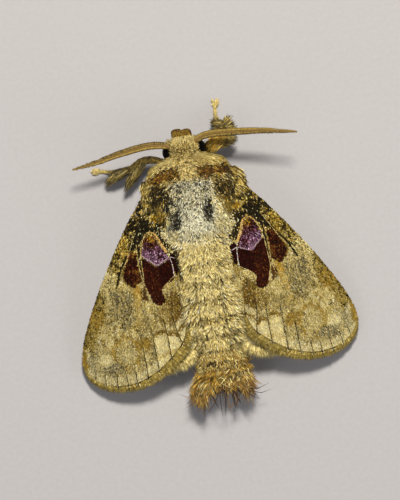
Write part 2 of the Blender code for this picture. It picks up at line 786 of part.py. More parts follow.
def forewing_edges(hinge, sweep):
    """Root, front, outer and inner edge of a left forewing in the body's plan."""
    turn = math.radians(sweep)

    def placed(pairs):
        return [
            (
                hinge[0] + along * math.sin(turn) - across * math.cos(turn),
                hinge[1] + along * math.cos(turn) + across * math.sin(turn),
                0.0,
            )
            for along, across in pairs
        ]

    root = root_line(FOREWING_ROOT_Y, 0.0)
    rows = (root, root[:1] + placed(FOREWING_COSTA), placed(FOREWING_TERMEN), root[-1:] + placed(FOREWING_INNER))
    return [edge_curve(row) for row in rows]


def hindwing_edges():
    """Root, front, outer and inner edge of a left hindwing in the body's plan."""
    root = root_line(HINDWING_ROOT_Y, HINDWING_DROP)
    costa = root[:1] + [(x, y, 0.0) for x, y in HINDWING_COSTA]
    termen = [(x, y, 0.0) for x, y in HINDWING_TERMEN]
    inner = root[-1:] + [(x, y, 0.0) for x, y in HINDWING_INNER]
    return [edge_curve(row) for row in (root, costa, termen, inner)]


def make_wings():
    """Forewings over hindwings, each with its main veins and its fringe."""
    hind = wing(
        hindwing_edges(), HINDWING_FRINGE, HINDWING_VEINS, HINDWING_ROWS, HINDWING_DROP, HINDWING_CELL
    )
    for name, side in (("left", 1), ("right", -1)):
        edges = forewing_edges(*FOREWING_PLACING[name])
        fore = wing(edges, FOREWING_FRINGE, FOREWING_VEINS, FOREWING_ROWS, 0.0, FOREWING_CELL)
        make_object("forewing_" + name, mirrored(fore, side), "forewing")
        make_object("hindwing_" + name, mirrored(hind, side), "hindwing")


def flank_start(y, z):
    """Two points that leave the thorax's side squarely, the first one the gap away from it."""
    step = 0.02
    slope = (body_half_width(y, z + step) - body_half_width(y, z - step)) / (2 * step)
    outward = Vector((1.0, 0.0, -slope)).normalized()
    surface = Vector((body_half_width(y, z), y, z))
    return [surface + outward * GAP, surface + outward * (GAP + FLANK_REACH)]


def leg(route):
    """Leg of round section along the route of its joints."""
    path = smooth_path(route, LEG_STATIONS)
    widths = [smooth_value(LEG_HALF_WIDTHS, index / (LEG_STATIONS - 1)) for index in range(LEG_STATIONS)]
    return tube(path, widths, widths, LEG_SIDES)


def leg_locks(fans, rng):
    """Fans of locks that leave a leg between two points and reach out between two others."""
    shapes = []
    for first_root, last_root, first_tip, last_tip, count, half_width in fans:
        for index in range(count):
            share = index / (count - 1)
            root = Vector(first_root).lerp(Vector(last_root), share)
            tip = Vector(first_tip).lerp(Vector(last_tip), share)
            tip = root + (tip - root) * rng.uniform(*LEG_LOCK_LENGTHS)
            path = []
            for step in range(len(LOCK_HEIGHTS)):
                along = step / (len(LOCK_HEIGHTS) - 1)
                point = root.lerp(tip, along)
                point.z += LEG_LOCK_ARCH * math.sin(math.pi * along)
                path.append(point)
            shapes.append(lock(path, [Vector((0, 0, 1))] * len(path), half_width))
    return shapes


def make_legs(rng):
    """Six legs with flat-soled feet and their scale locks."""
    for name, side in (("left", 1), ("right", -1)):
        for kind in ("foreleg_" + name, "midleg", "hindleg"):
            front = kind.startswith("foreleg")
            colour = "foreleg" if front else "leg"
            start = [] if front else flank_start(*FLANK_ROOTS[kind])
            shape = leg(start + list(LEG_ROUTES[kind]))
            thing = make_object(kind if front else kind + "_" + name, mirrored(shape, side), colour)
            shapes = [mirrored(shape, side) for shape in leg_locks(LEG_LOCKS[kind], rng)]
            fuse_locks(thing, shapes, colour)


def main():
    """Build the moth from an empty scene."""
    for thing in list(bpy.data.objects):
        bpy.data.objects.remove(thing)
    rng = np.random.default_rng(SEED)
    make_head(rng)
    make_palps()
    make_feelers()
    thorax = make_body("thorax", THORAX_SECTIONS, THORAX_STATIONS, "pale_coat")
    fuse_locks(thorax, row_locks(THORAX_SECTIONS, THORAX_ROWS, rng), "pale_coat")
    abdomen = make_body("abdomen", ABDOMEN_SECTIONS, ABDOMEN_STATIONS, "tail_coat")
    fuse_locks(abdomen, tail_locks(rng), "tail_coat")
    make_wings()
    make_legs(rng)


main()
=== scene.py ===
"""Dressing of the moth Chalcoscelides castaneipars: skin, coat, scaled wings, combed feelers, legs and stage.

Lengths are drawn in millimetres, with the head towards -Y, the moth's own left at +X and the feet on z = 0.
"""

import math

import bmesh
import bpy
import numpy as np
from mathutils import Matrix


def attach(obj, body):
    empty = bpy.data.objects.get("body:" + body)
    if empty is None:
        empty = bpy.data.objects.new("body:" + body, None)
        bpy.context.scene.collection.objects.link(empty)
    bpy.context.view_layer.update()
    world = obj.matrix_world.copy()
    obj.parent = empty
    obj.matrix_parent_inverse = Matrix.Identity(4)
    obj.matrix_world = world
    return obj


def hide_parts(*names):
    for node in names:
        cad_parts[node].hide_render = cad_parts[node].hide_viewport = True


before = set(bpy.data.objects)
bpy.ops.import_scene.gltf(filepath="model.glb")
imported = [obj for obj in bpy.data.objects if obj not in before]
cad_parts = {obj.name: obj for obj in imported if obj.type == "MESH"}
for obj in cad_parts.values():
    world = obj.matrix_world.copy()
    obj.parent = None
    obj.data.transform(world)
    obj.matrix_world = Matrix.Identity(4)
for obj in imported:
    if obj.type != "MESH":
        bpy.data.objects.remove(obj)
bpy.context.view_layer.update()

bl_info = {
    "name": "Cup moth dressing",
    "version": (1, 0, 0),
    "blender": (4, 5, 0),
    "location": "View3D > Sidebar > Moth",
    "description": "Builds the coat, scaled wings, feelers and legs of a resting cup moth",
    "category": "Object",
}

MM = 0.001
SHIFT = np.array((0.25, -11.1, 0.0))
BAKE_PATCH = 0.003
SIGNS = {"left": 1.0, "right": -1.0}
# Steps of the plastic number: points taken with them never crowd or leave gaps.
SCATTER_STEPS = (0.7548776662466927, 0.5698402909980532)
# Step of the golden ratio, for an even scatter in one direction.
GOLDEN_STEP = 0.618034
# Ridge of a hair scale in half widths, the ribs' grain in millimetres and the refraction of chitin.
HAIR_FLATNESS = 0.7
SCALE_GRAIN = 0.05
CHITIN_INDEX = 1.56
# The fan of long scales that covers the right foreleg's thigh.
THIGH_FAN = 3

# Body sections: place along the body, half width, lowest, widest and highest level.
BODY_SQUARENESS = 2.5
BODY_SECTIONS = (
    (-1.4, 0.6, 4.35, 4.65, 4.95), (-1.15, 0.95, 4.15, 4.6, 5.15), (-0.9, 1.2, 3.0, 4.1, 5.28),
    (-0.5, 1.5, 2.65, 4.05, 5.4), (0.0, 1.75, 2.55, 4.0, 5.5), (0.45, 1.95, 2.5, 4.0, 5.52),
    (0.8, 2.45, 2.45, 4.0, 5.42), (1.05, 3.1, 2.35, 4.0, 5.42), (1.3, 3.65, 2.15, 4.05, 5.65),
    (1.9, 4.0, 1.75, 4.15, 5.95), (2.6, 4.4, 1.55, 4.2, 6.15), (3.3, 4.75, 1.45, 4.25, 6.35),
    (3.9, 4.75, 1.4, 4.25, 6.45), (4.6, 4.3, 1.35, 4.25, 6.5), (5.6, 3.7, 1.35, 4.2, 6.45),
    (7.0, 3.25, 1.35, 4.1, 6.25), (8.1, 2.85, 1.4, 4.0, 5.95), (8.9, 2.5, 1.55, 3.7, 5.65),
    (10.0, 2.5, 1.35, 3.3, 5.55), (12.0, 2.5, 1.2, 3.1, 5.35), (14.0, 2.48, 1.15, 3.0, 5.05),
    (16.0, 2.45, 1.1, 2.9, 4.75), (18.0, 2.42, 1.1, 2.75, 4.45), (19.6, 2.38, 1.15, 2.7, 4.3),
    (20.6, 2.35, 1.25, 2.7, 4.2), (21.6, 2.15, 1.4, 2.7, 4.0), (22.6, 1.55, 1.8, 2.7, 3.6),
)
TAIL_SECTIONS = (
    (18.6, 2.42, 1.1, 2.7, 4.4), (20.2, 2.48, 1.1, 2.7, 4.35), (21.6, 2.72, 1.05, 2.7, 4.4),
    (22.8, 3.0, 1.0, 2.7, 4.4), (24.2, 3.15, 1.0, 2.7, 4.35), (25.5, 3.0, 1.1, 2.7, 4.2),
    (27.0, 2.6, 1.4, 2.7, 3.9),
)

# The wings' low roof, and the forewing's edges in its own plan: out from the hinge, and to the rear.
WING_RIDGE_X = 2.3
WING_RIDGE_Z = 5.2
WING_SLOPE = 0.362
WING_CAMBER = 0.35
WING_SPAN_X = 11.6
HINDWING_DROP = 0.88
WING_ROOT_LEVEL = 4.2
FOREWING_COSTA = ((5.3, -1.95), (10.3, -1.98), (14.1, -1.75), (16.9, -1.35), (18.4, -0.9))
FOREWING_TERMEN = (
    (18.4, -0.9), (19.15, -0.4), (19.7, 0.3), (19.95, 1.6), (19.6, 3.25), (18.4, 5.1), (16.5, 6.48),
    (14.5, 7.25), (12.7, 7.6), (11.15, 7.25),
)
FOREWING_INNER = ((5.9, 4.45), (7.5, 5.65), (9.3, 6.6), (11.15, 7.25))
FOREWING_ROOT_Y = (3.85, 8.9)
FOREWING_FRINGE = (
    (0.0, 0.05), (0.1, 0.2), (0.18, 0.46), (0.46, 0.7), (0.69, 0.92), (0.87, 0.9), (1.0, 0.25)
)
FOREWING_PLACING = {"left": ((2.6, 3.4), 32.9), "right": ((2.6, 3.6), 34.75)}
# Veins of the right forewing in plan, each with the place from which dark scales follow it to the edge.
FOREWING_VEINS = (
    (((4.9, 4.9), (8.2, 9.2), (11.0, 13.9), (12.9, 17.0)), 30.0),
    (((4.4, 5.4), (6.2, 7.26), (7.56, 9.7), (8.9, 12.2), (10.6, 15.4), (12.3, 18.4), (12.9, 20.3)), 19.6),
    (((9.2, 12.8), (10.7, 16.5), (11.9, 20.3), (12.02, 21.3)), 20.0),
    (((8.9, 12.2), (9.8, 16.2), (10.75, 20.3), (10.92, 21.7)), 20.2),
    (((8.3, 12.9), (9.2, 16.5), (9.8, 20.4), (9.88, 21.85)), 20.6),
    (((7.8, 13.2), (8.4, 16.5), (8.88, 20.3), (8.95, 21.75)), 20.3),
    (((7.2, 13.3), (7.5, 16.0), (7.7, 18.4), (7.8, 21.35)), 18.2),
    (((4.6, 5.8), (5.58, 8.0), (6.22, 9.6), (6.38, 11.5), (6.62, 13.5), (6.57, 16.9), (6.62, 20.8)), 16.4),
    (((6.35, 12.4), (5.8, 14.2), (5.22, 16.0), (5.18, 19.9)), 15.9),
    (((3.3, 12.0), (3.9, 14.0), (4.28, 15.9), (3.86, 18.75)), 15.0),
    (((2.75, 10.2), (2.95, 13.5), (3.08, 16.7)), 16.0),
    (((8.85, 12.2), (8.0, 13.0), (7.2, 13.3), (6.62, 13.4)), 30.0),
)
HINDWING_COSTA = ((6.3, 9.6), (9.0, 12.8), (10.6, 16.0), (10.6, 18.2))
HINDWING_TERMEN = ((10.6, 18.2), (9.4, 19.9), (7.2, 20.5), (5.0, 20.3), (3.6, 20.0), (2.4, 19.3))
HINDWING_INNER = ((2.9, 11.0), (2.7, 14.0), (2.2, 17.0), (2.1, 18.6), (2.4, 19.3))
HINDWING_FRINGE = ((0.0, 0.04), (0.1, 0.45), (0.5, 0.66), (0.85, 0.9), (1.0, 0.55))
HINDWING_ROOT_Y = (7.05, 8.3)
HINDWING_VEINS = (
    (0.14, 0.1, 0.0, 1.0), (0.3, 0.28, 0.0, 1.0), (0.44, 0.46, 0.45, 1.0), (0.58, 0.64, 0.0, 1.0),
    (0.8, 0.82, 0.0, 1.0),
)
HINDWING_CROSS_VEIN = (0.6, 0.3, 0.58)

# Marks of the right forewing and of the body, in plan.
CHESTNUT = (
    (3.33, 10.15), (3.9, 10.42), (4.85, 10.75), (5.65, 10.0), (6.1, 9.6), (6.28, 10.7), (6.33, 11.8),
    (6.26, 12.5), (6.0, 13.4), (5.83, 14.1), (5.55, 14.4), (5.1, 14.5), (4.7, 14.3), (4.58, 14.0),
    (4.72, 13.5), (4.68, 13.1), (4.45, 12.8), (4.05, 12.5), (3.55, 12.3), (3.28, 12.0),
)
CHESTNUT_INNER = (
    (2.4, 10.55), (2.67, 10.0), (3.25, 9.55), (3.4, 10.1), (3.15, 11.95), (2.6, 11.45), (2.35, 10.9)
)
CHESTNUT_OUTER = (
    (6.5, 9.05), (6.82, 8.8), (7.12, 9.12), (7.55, 9.8), (8.0, 10.45), (8.15, 11.2), (8.0, 11.8),
    (7.6, 12.2), (7.3, 12.5), (7.0, 12.05), (6.62, 11.9), (6.52, 11.1),
)
LILAC = (
    (3.4, 10.15), (3.52, 9.8), (3.93, 9.02), (4.33, 8.45), (4.9, 8.3), (5.4, 8.38), (5.85, 8.8),
    (6.02, 9.45), (5.75, 9.85), (5.29, 10.25), (4.82, 10.7), (4.25, 10.58),
)
LILAC_RIM = ((3.42, 10.16), (4.25, 10.58), (4.82, 10.7), (5.29, 10.25), (5.75, 9.85), (6.0, 9.5))
ARCH = ((3.52, 9.74), (3.96, 8.83), (4.34, 7.85), (4.78, 7.48), (5.24, 7.62), (5.58, 8.03))
ARCH_FILL = ((4.05, 9.0), (4.42, 7.95), (4.85, 7.58), (5.25, 7.75), (5.6, 8.2), (5.95, 8.95), (4.8, 8.9))
WHITE_LINES = (((3.36, 10.22), (3.05, 10.35), (2.45, 10.6)), ((3.38, 10.18), (3.29, 11.2), (3.29, 12.05)))
PALE_LINES = (
    (
        (5.58, 8.03), (5.94, 8.79), (6.1, 9.6), (6.21, 10.6), (6.28, 11.6), (6.34, 12.4), (6.12, 13.2),
        (5.98, 13.8),
    ),
    ((6.3, 8.4), (6.43, 9.6), (6.46, 11.0), (6.46, 12.1), (6.72, 13.3)),
    ((6.15, 7.2), (6.88, 8.46), (7.56, 9.72), (8.27, 10.72), (8.62, 11.5), (8.9, 12.2)),
    ((3.32, 12.1), (3.8, 12.42), (4.42, 12.86), (4.7, 13.2), (4.62, 13.9)),
)
CHESTNUT_WEDGE = ((6.36, 12.3), (6.66, 12.6), (6.92, 13.2), (6.66, 13.7), (6.2, 13.9), (6.28, 13.1))
BLACK_BLOB = (
    (4.65, 6.2), (5.25, 5.9), (5.9, 6.5), (6.4, 7.2), (6.8, 8.0), (7.0, 8.75), (6.55, 8.9), (6.15, 8.7),
    (5.7, 7.95), (5.3, 7.5), (4.8, 7.4),
)
BLACK_INNER = (
    (3.0, 6.2), (3.8, 6.5), (4.5, 7.05), (4.35, 7.8), (3.98, 8.7), (3.5, 9.5), (3.15, 9.3), (2.6, 9.2),
    (2.6, 8.8), (3.2, 8.5), (3.45, 7.8), (3.2, 7.1),
)
BLACK_LINES = (
    ((6.6, 8.3), (7.1, 8.8), (7.9, 9.95), (8.35, 10.5), (8.85, 10.85)),
    ((8.35, 10.7), (8.7, 11.3), (8.98, 12.0)),
    ((6.18, 8.6), (6.27, 9.6), (6.34, 10.6), (6.38, 12.1)),
)
PALE_LUNULES = (
    ((3.1, 17.1), (3.55, 17.4), (3.95, 17.9), (3.8, 18.75), (3.35, 18.1)),
    ((4.15, 17.9), (4.6, 17.6), (5.1, 17.75), (5.1, 19.9), (4.5, 19.5), (4.0, 18.85)),
    ((5.35, 17.6), (5.95, 17.4), (6.45, 17.8), (6.5, 20.6), (5.9, 20.3), (5.3, 19.95)),
)
BROWN_LUNULES = (
    ((3.0, 16.6), (3.5, 16.95), (3.85, 17.3)),
    ((4.1, 17.7), (4.5, 17.35), (5.0, 17.45)),
    ((5.35, 17.2), (5.75, 16.95), (6.3, 17.2)),
)
GOLD_RING = ((9.35, 18.5), 1.2)

# Feelers: route from the brow to the tip, and half the width of the comb.
FEELER_ROUTES = {
    "left": (
        (1.24, -0.3, 5.05), (1.72, -0.6, 5.16), (2.6, -0.79, 5.14), (3.5, -0.86, 5.1), (4.5, -0.8, 5.05),
        (6.5, -0.55, 5.0), (8.5, -0.17, 4.9), (11.0, 0.12, 4.7),
    ),
    "right": (
        (1.05, -0.38, 5.1), (1.45, -0.72, 5.26), (2.1, -0.95, 5.36), (3.0, -0.98, 5.48), (4.0, -0.9, 5.66),
        (6.0, -0.67, 6.1), (8.0, -0.35, 6.5), (11.0, 0.3, 7.0),
    ),
}
FEELER_HALF_WIDTH = ((0.0, 0.18), (0.06, 0.33), (0.45, 0.34), (0.7, 0.25), (0.9, 0.13), (1.0, 0.06))

# Hind edge of a shoulder flap, beside the pale back.
FLAP_HEM = ((2.0, 5.2), (2.55, 6.1), (3.25, 7.1), (3.4, 7.8), (3.05, 8.55), (2.5, 9.1), (2.4, 9.9))

PALP_ROUTE = (
    (0.56, -0.72, 2.35), (0.54, -1.2, 2.6), (0.5, -1.48, 3.1), (0.46, -1.52, 3.65), (0.44, -1.46, 4.14),
    (0.44, -1.05, 4.42),
)
PALP_HALF_WIDTHS = ((0.0, 0.22), (0.3, 0.42), (0.6, 0.55), (0.88, 0.58), (1.0, 0.46))
PALP_DEPTH = 0.84
PALP_SQUARENESS = 0.75

EYE_RADII = (0.72, 0.84, 0.86)
EYE_CENTRE = (1.42, 0.08, 4.0)

# Legs: route of the joints, half widths, and fans of long scales: first and last root, first and last tip.
LEG_ROUTES = {
    "foreleg_left": (
        (2.2, 0.75, 2.9), (3.5, 0.42, 3.0), (4.35, 0.5, 3.0), (5.2, 0.92, 2.85), (6.2, 1.0, 2.1),
        (7.1, 0.95, 1.1), (7.7, 0.8, 0.36), (8.15, 0.68, 0.17), (8.9, 0.55, 0.17),
    ),
    "foreleg_right": (
        (2.2, 0.75, 2.9), (3.2, 0.05, 2.95), (4.0, -0.38, 2.95), (4.4, -0.85, 2.6), (4.15, -1.55, 1.75),
        (3.75, -2.25, 0.9), (3.62, -2.75, 0.34), (3.64, -3.2, 0.17), (3.8, -4.05, 0.17),
    ),
    "midleg": (
        (3.9, 4.4, 2.4), (4.3, 4.85, 2.35), (5.1, 5.8, 1.95), (5.75, 6.9, 1.25), (6.15, 7.9, 0.4),
        (6.35, 8.5, 0.17), (6.75, 10.2, 0.17),
    ),
    "hindleg": (
        (3.0, 7.3, 2.2), (3.7, 8.3, 2.1), (4.35, 9.8, 1.75), (4.9, 11.6, 1.1), (5.25, 13.1, 0.4),
        (5.4, 13.8, 0.17), (5.85, 15.8, 0.17),
    ),
}
LEG_HALF_WIDTHS = ((0.0, 0.26), (0.3, 0.3), (0.5, 0.24), (0.68, 0.17), (0.8, 0.12), (1.0, 0.1))
LEG_FANS = {
    "foreleg_left": (
        ((5.35, 0.95, 2.7), (6.95, 0.97, 1.3), (7.1, 1.7, 1.9), (8.15, 2.02, 1.15)),
        ((3.8, 0.42, 3.0), (5.2, 0.92, 2.85), (5.3, 2.05, 2.25), (6.3, 2.92, 1.75)),
    ),
    "foreleg_right": (
        ((3.0, 0.15, 2.9), (4.25, -0.6, 2.8), (4.1, 0.38, 2.5), (5.2, -0.1, 2.4)),
        ((4.42, -0.8, 2.6), (3.95, -1.95, 1.35), (5.35, -1.05, 2.05), (4.98, -2.48, 1.25)),
        ((4.25, -1.35, 2.0), (3.8, -2.2, 1.0), (3.3, -1.7, 1.85), (3.18, -2.4, 1.0)),
        ((2.0, 0.1, 3.05), (2.65, 0.8, 3.05), (3.42, -1.15, 3.0), (4.05, -0.4, 3.0)),
    ),
    "midleg": (((4.7, 5.3, 2.15), (5.75, 6.9, 1.25), (5.55, 6.8, 2.05), (6.5, 8.2, 0.95)),),
    "hindleg": (((3.95, 8.9, 2.0), (4.9, 11.6, 1.1), (4.6, 10.6, 1.95), (5.55, 13.1, 0.9)),),
}


def linear(code):
    """Linear red, green and blue of an sRGB hex colour."""
    parts = [int(code[place : place + 2], 16) / 255 for place in (1, 3, 5)]
    return tuple(part / 12.92 if part <= 0.04045 else ((part + 0.055) / 1.055) ** 2.4 for part in parts)


# Scale colours: name, hex value and what wears it.
PALETTE = (
    ("white", "#DEDCC3", "White-grey scales of the back"),
    ("cream", "#DCCB8C", "Cream scales of the body and the wings' pale bands"),
    ("straw", "#BDA65A", "Straw-coloured scales between the marks"),
    ("ochre", "#927728", "Ochre scales of the wings"),
    ("gold", "#AC8426", "Golden scales of the tail and the wings' rings"),
    ("rust", "#75461A", "Rusty brown scales of the collar and tail"),
    ("umber", "#4E3A1A", "Brown scales that mottle the wings"),
    ("olive", "#7C6D30", "Olive scales of the fringe and front edge"),
    ("grey", "#87805F", "Grey scales of the outer wing"),
    ("soot", "#1A160B", "Nearly black scales and specks"),
    ("maroon", "#220501", "Dark chestnut patch"),
    ("red", "#4C1A0D", "Red-brown scales of the outer patch"),
    ("lilac", "#6A4559", "Lilac patch"),
    ("pink", "#AC8A9E", "Pale scales in and round the lilac patch"),
    ("orange", "#C79C58", "Pale orange arch over the lilac patch"),
)
NAMES = [row[0] for row in PALETTE]


COUNTS = (
    ("head_hairs", 9000, "Hair scales on the head"),
    ("thorax_hairs", 19500, "Hair scales on the thorax"),
    ("abdomen_hairs", 19500, "Hair scales on the abdomen"),
    ("tail_hairs", 8500, "Hair scales of the tail tuft"),
    ("wing_scales", 20000, "Scales on each forewing"),
    ("fringe_scales", 3600, "Scales of each fringe"),
)
LENGTHS = (
    ("hair_width", 0.044, "Half width of a body hair scale"),
    ("coat_depth", 0.25, "Depth of the coat over the skin"),
    ("scale_length", 0.23, "Length of a wing scale"),
    ("scale_width", 0.105, "Width of a wing scale"),
    ("wing_thickness", 0.14, "Thickness of membrane and scales"),
)


class MothSettings(bpy.types.PropertyGroup):
    """Sizes and colours of the dressing."""

    seed: bpy.props.IntProperty(name="Seed", description="Seed of every random draw", default=7)
    camera_distance: bpy.props.FloatProperty(
        name="Camera distance", description="From the lens to the wings", default=0.3, unit="LENGTH"
    )


for name, number, use in COUNTS:
    MothSettings.__annotations__[name] = bpy.props.IntProperty(
        name=name.replace("_", " ").capitalize(), description=use, default=number
    )
for name, length, use in LENGTHS:
    MothSettings.__annotations__[name] = bpy.props.FloatProperty(
        name=name.replace(
            "_", " "
        ).capitalize(), description=use, default=length * MM, unit="LENGTH", precision=6
    )
for name, code, use in PALETTE:
    MothSettings.__annotations__[name] = bpy.props.FloatVectorProperty(
        name=name.capitalize(), description=use, default=linear(
            code
        ), subtype="COLOR", size=3, min=0.0, max=1.0
    )


def settings():
    """The scene's settings."""
    return bpy.context.scene.cup_moth


def palette():
    """Linear colours of the scales, one row each."""
    return np.array([tuple(getattr(settings(), name)) for name in NAMES])


def unit(vectors):
    """Vectors of length one."""
    return vectors / np.maximum(np.linalg.norm(vectors, axis=-1, keepdims=True), 1e-9)


def ramp(low, high, value):
    """Smooth step from 0 at low to 1 at high."""
    share = np.clip((value - low) / (high - low), 0.0, 1.0)
    return share * share * (3 - 2 * share)


def smooth_through(knots, values, places):
    """Values at places on smooth curves through rows of values."""
    knots = np.asarray(knots, float)
    values = np.asarray(values, float).reshape(len(knots), -1)
    places = np.clip(np.asarray(places, float), knots[0], knots[-1])
    index = np.clip(np.searchsorted(knots, places, side="right") - 1, 0, len(knots) - 2)
    low = np.maximum(np.arange(len(knots)) - 1, 0)
    high = np.minimum(np.arange(len(knots)) + 1, len(knots) - 1)
    slopes = (values[high] - values[low]) / (knots[high] - knots[low])[:, None]
    span = (knots[index + 1] - knots[index])[..., None]
    along = (places - knots[index])[..., None] / span
    square = along**2
    cube = along**3
    return (
        (2 * cube - 3 * square + 1) * values[index]
        + (cube - 2 * square + along) * slopes[index] * span
        + (3 * square - 2 * cube) * values[index + 1]
        + (cube - square) * slopes[index + 1] * span
    )


def table_value(table, places):
    """Smooth value of a two-column table."""
    rows = np.array(table)
    return smooth_through(rows[:, 0], rows[:, 1], places)[..., 0]


def even_curve(points, count):
    """Points evenly spaced along a smooth curve through the given points."""
    rows = np.array(points, float)
    run = np.concatenate(([0.0], np.cumsum(np.linalg.norm(np.diff(rows, axis=0), axis=1))))
    fine = smooth_through(run, rows, np.linspace(0, run[-1], 20 * count + 1))
    run = np.concatenate(([0.0], np.cumsum(np.linalg.norm(np.diff(fine, axis=0), axis=1))))
    places = np.linspace(0, run[-1], count)
    return np.stack([np.interp(places, run, column) for column in fine.T], axis=1)


def on_curve(curve, shares):
    """Points at shares of the way along a list of points."""
    steps = np.linspace(0, 1, len(curve))
    return np.stack([np.interp(shares, steps, column) for column in curve.T], axis=-1)


def way_along(curve, share, step=0.01):
    """The way that a curve runs at shares of its length."""
    return on_curve(curve, np.minimum(share + step, 1)) - on_curve(curve, np.maximum(share - step, 0))


def grain(x, y, size, seed):
    """Smooth noise between 0 and 1 with patches of about the given size."""
    total = np.zeros(np.shape(x))
    for octave, weight in ((1.0, 0.65), (2.03, 0.35)):
        across = np.asarray(x) * octave / size + 37.1 * seed
        along = np.asarray(y) * octave / size + 11.7 * seed
        column = np.floor(across)
        row = np.floor(along)
        right = across - column
        up = along - row
        right = right * right * (3 - 2 * right)
        up = up * up * (3 - 2 * up)

        def lattice(step_x, step_y):
            wave = np.sin((column + step_x) * 127.1 + (row + step_y) * 311.7 + seed * 74.7) * 43758.5453
            return wave - np.floor(wave)

        near = lattice(0, 0) * (1 - right) + lattice(1, 0) * right
        far = lattice(0, 1) * (1 - right) + lattice(1, 1) * right
        total = total + weight * (near * (1 - up) + far * up)
    return total


def squared(values, power):
    """Sines or cosines of a squarer outline, for a power below 1."""
    return np.sign(values) * np.abs(values) ** power


def section_at(sections, y):
    """Half width and lowest, widest and highest level of a body at places along it."""
    rows = np.array(sections)
    return np.moveaxis(smooth_through(rows[:, 0], rows[:, 1:], y), -1, 0)


def body_point(sections, y, degrees):
    """Points of a body outline. 0 degrees is left, 90 is up."""
    width, low, middle, high = section_at(sections, y)
    angle = np.radians(degrees)
    across = squared(np.cos(angle), 2 / BODY_SQUARENESS)
    rise = squared(np.sin(angle), 2 / BODY_SQUARENESS)
    reach = np.where(rise > 0, high - middle, middle - low)
    return np.stack([width * across, y + 0 * across, middle + reach * rise], axis=-1)


def body_frame(sections, y, degrees):
    """Points of a body outline and the way out of it."""
    point = body_point(sections, y, degrees)
    round_step = body_point(sections, y, degrees + 1.0) - body_point(sections, y, degrees - 1.0)
    ahead = body_point(sections, y + 0.04, degrees) - body_point(sections, y - 0.04, degrees)
    ahead[..., 1] = 0.08
    return point, unit(np.cross(ahead, round_step))


def half_width(y, z):
    """Half width of the body at y and height z."""
    width, low, middle, high = section_at(BODY_SECTIONS, y)
    reach = np.where(z > middle, high - middle, middle - low)
    share = np.clip(np.abs(z - middle) / reach, 0.0, 1.0)
    return width * (1.0 - share**BODY_SQUARENESS) ** (1.0 / BODY_SQUARENESS)


def body_top(x, y):
    """Height of the body's upper face at x and y."""
    width, _, middle, high = section_at(BODY_SECTIONS, y)
    share = np.clip(np.abs(x) / width, 0.0, 1.0)
    return middle + (high - middle) * (1 - share**BODY_SQUARENESS) ** (1 / BODY_SQUARENESS)


def wing_top(x):
    """Height of the forewing's upper face at a distance from the middle."""
    out = np.abs(x) - WING_RIDGE_X
    return WING_RIDGE_Z - WING_SLOPE * out + WING_CAMBER * np.sin(
        np.pi * np.clip(out / WING_SPAN_X, 0.0, 1.0)
    )


def scatter(count):
    """Two rows of evenly scattered values between 0 and 1."""
    order = np.arange(count)
    return [(0.5 + order * step) % 1.0 for step in SCATTER_STEPS]


def spread(weights, columns, rows, count):
    """Evenly scattered places over a grid, as many to a cell as its weight asks."""
    weights = np.asarray(weights, float) + 1e-9
    by_row = np.cumsum(weights.sum(axis=1))
    by_row = np.concatenate(([0.0], by_row / by_row[-1]))
    inside = np.cumsum(weights, axis=1)
    inside = np.concatenate((np.zeros((len(weights), 1)), inside / inside[:, -1:]), axis=1)
    first, second = scatter(count)
    row_edges = np.linspace(rows[0], rows[1], len(weights) + 1)
    column_edges = np.linspace(columns[0], columns[1], weights.shape[1] + 1)
    row_place = np.interp(first, by_row, np.arange(len(weights) + 1))
    index = np.minimum(row_place.astype(int), len(weights) - 1)
    keys = (inside + np.arange(len(weights))[:, None]).ravel()
    column_place = np.interp(index + second * 0.999999, keys, np.tile(column_edges, len(weights)))
    return column_place, np.interp(row_place, np.arange(len(weights) + 1), row_edges)


def side_distance(points, start, end):
    """Distance of plan points from a straight side."""
    side = end - start
    share = np.clip(((points - start) @ side) / (side @ side), 0, 1)
    return np.linalg.norm(points - start - share[:, None] * side, axis=1)


def outline_distance(points, outline):
    """Distance of plan points from an outline, negative inside it."""
    corners = np.array(outline)
    inside = np.zeros(len(points), bool)
    for start, end in zip(corners, np.roll(corners, -1, axis=0)):
        crossed = (start[1] > points[:, 1]) != (end[1] > points[:, 1])
        reach = (end[0] - start[0]) * (points[:, 1] - start[1]) / (end[1] - start[1] + 1e-12) + start[0]
        inside ^= crossed & (points[:, 0] < reach)
    nearest = line_distance(points, [*corners, corners[0]])
    return np.where(inside, -nearest, nearest)


def line_distance(points, line):
    """Distance of plan points from an open line."""
    nearest = np.full(len(points), 1e9)
    corners = np.array(line)
    for start, end in zip(corners, corners[1:]):
        nearest = np.minimum(nearest, side_distance(points, start, end))
    return nearest


def wander(points, rough, seed, size=0.35):
    """Small shifts that make an edge ragged."""
    return (grain(points[:, 0], points[:, 1], size, seed) - 0.5) * 2 * rough


def patch(points, outline, soft=0.08, rough=0.12, seed=1):
    """Share of 1 inside an outline with a slightly ragged edge."""
    return 1 - ramp(-soft, soft, outline_distance(points, outline) + wander(points, rough, seed))


def stroke(points, line, width, soft=0.06, rough=0.05, seed=1):
    """Share of 1 along a line of a width."""
    return 1 - ramp(-soft, soft, line_distance(points, line) - width / 2 + wander(points, rough, seed))


def spot(points, centre, radii, soft=0.35, rough=0.3, seed=1):
    """Share of 1 inside an oval, fading over its rim."""
    reach = np.linalg.norm((points - np.array(centre)) / np.array(radii), axis=1)
    return 1 - ramp(1 - soft, 1 + soft, reach + wander(points, rough, seed, 0.5))


def paint(layers, mask, **shares):
    """Lay a mix of scales over the scales below."""
    layers *= 1 - mask[:, None]
    for name, share in shares.items():
        layers[:, NAMES.index(name)] += mask * share


def blank(points, **shares):
    """Scale shares of a ground colour."""
    layers = np.zeros((len(points), len(NAMES)))
    paint(layers, np.ones(len(points)), **shares)
    return layers


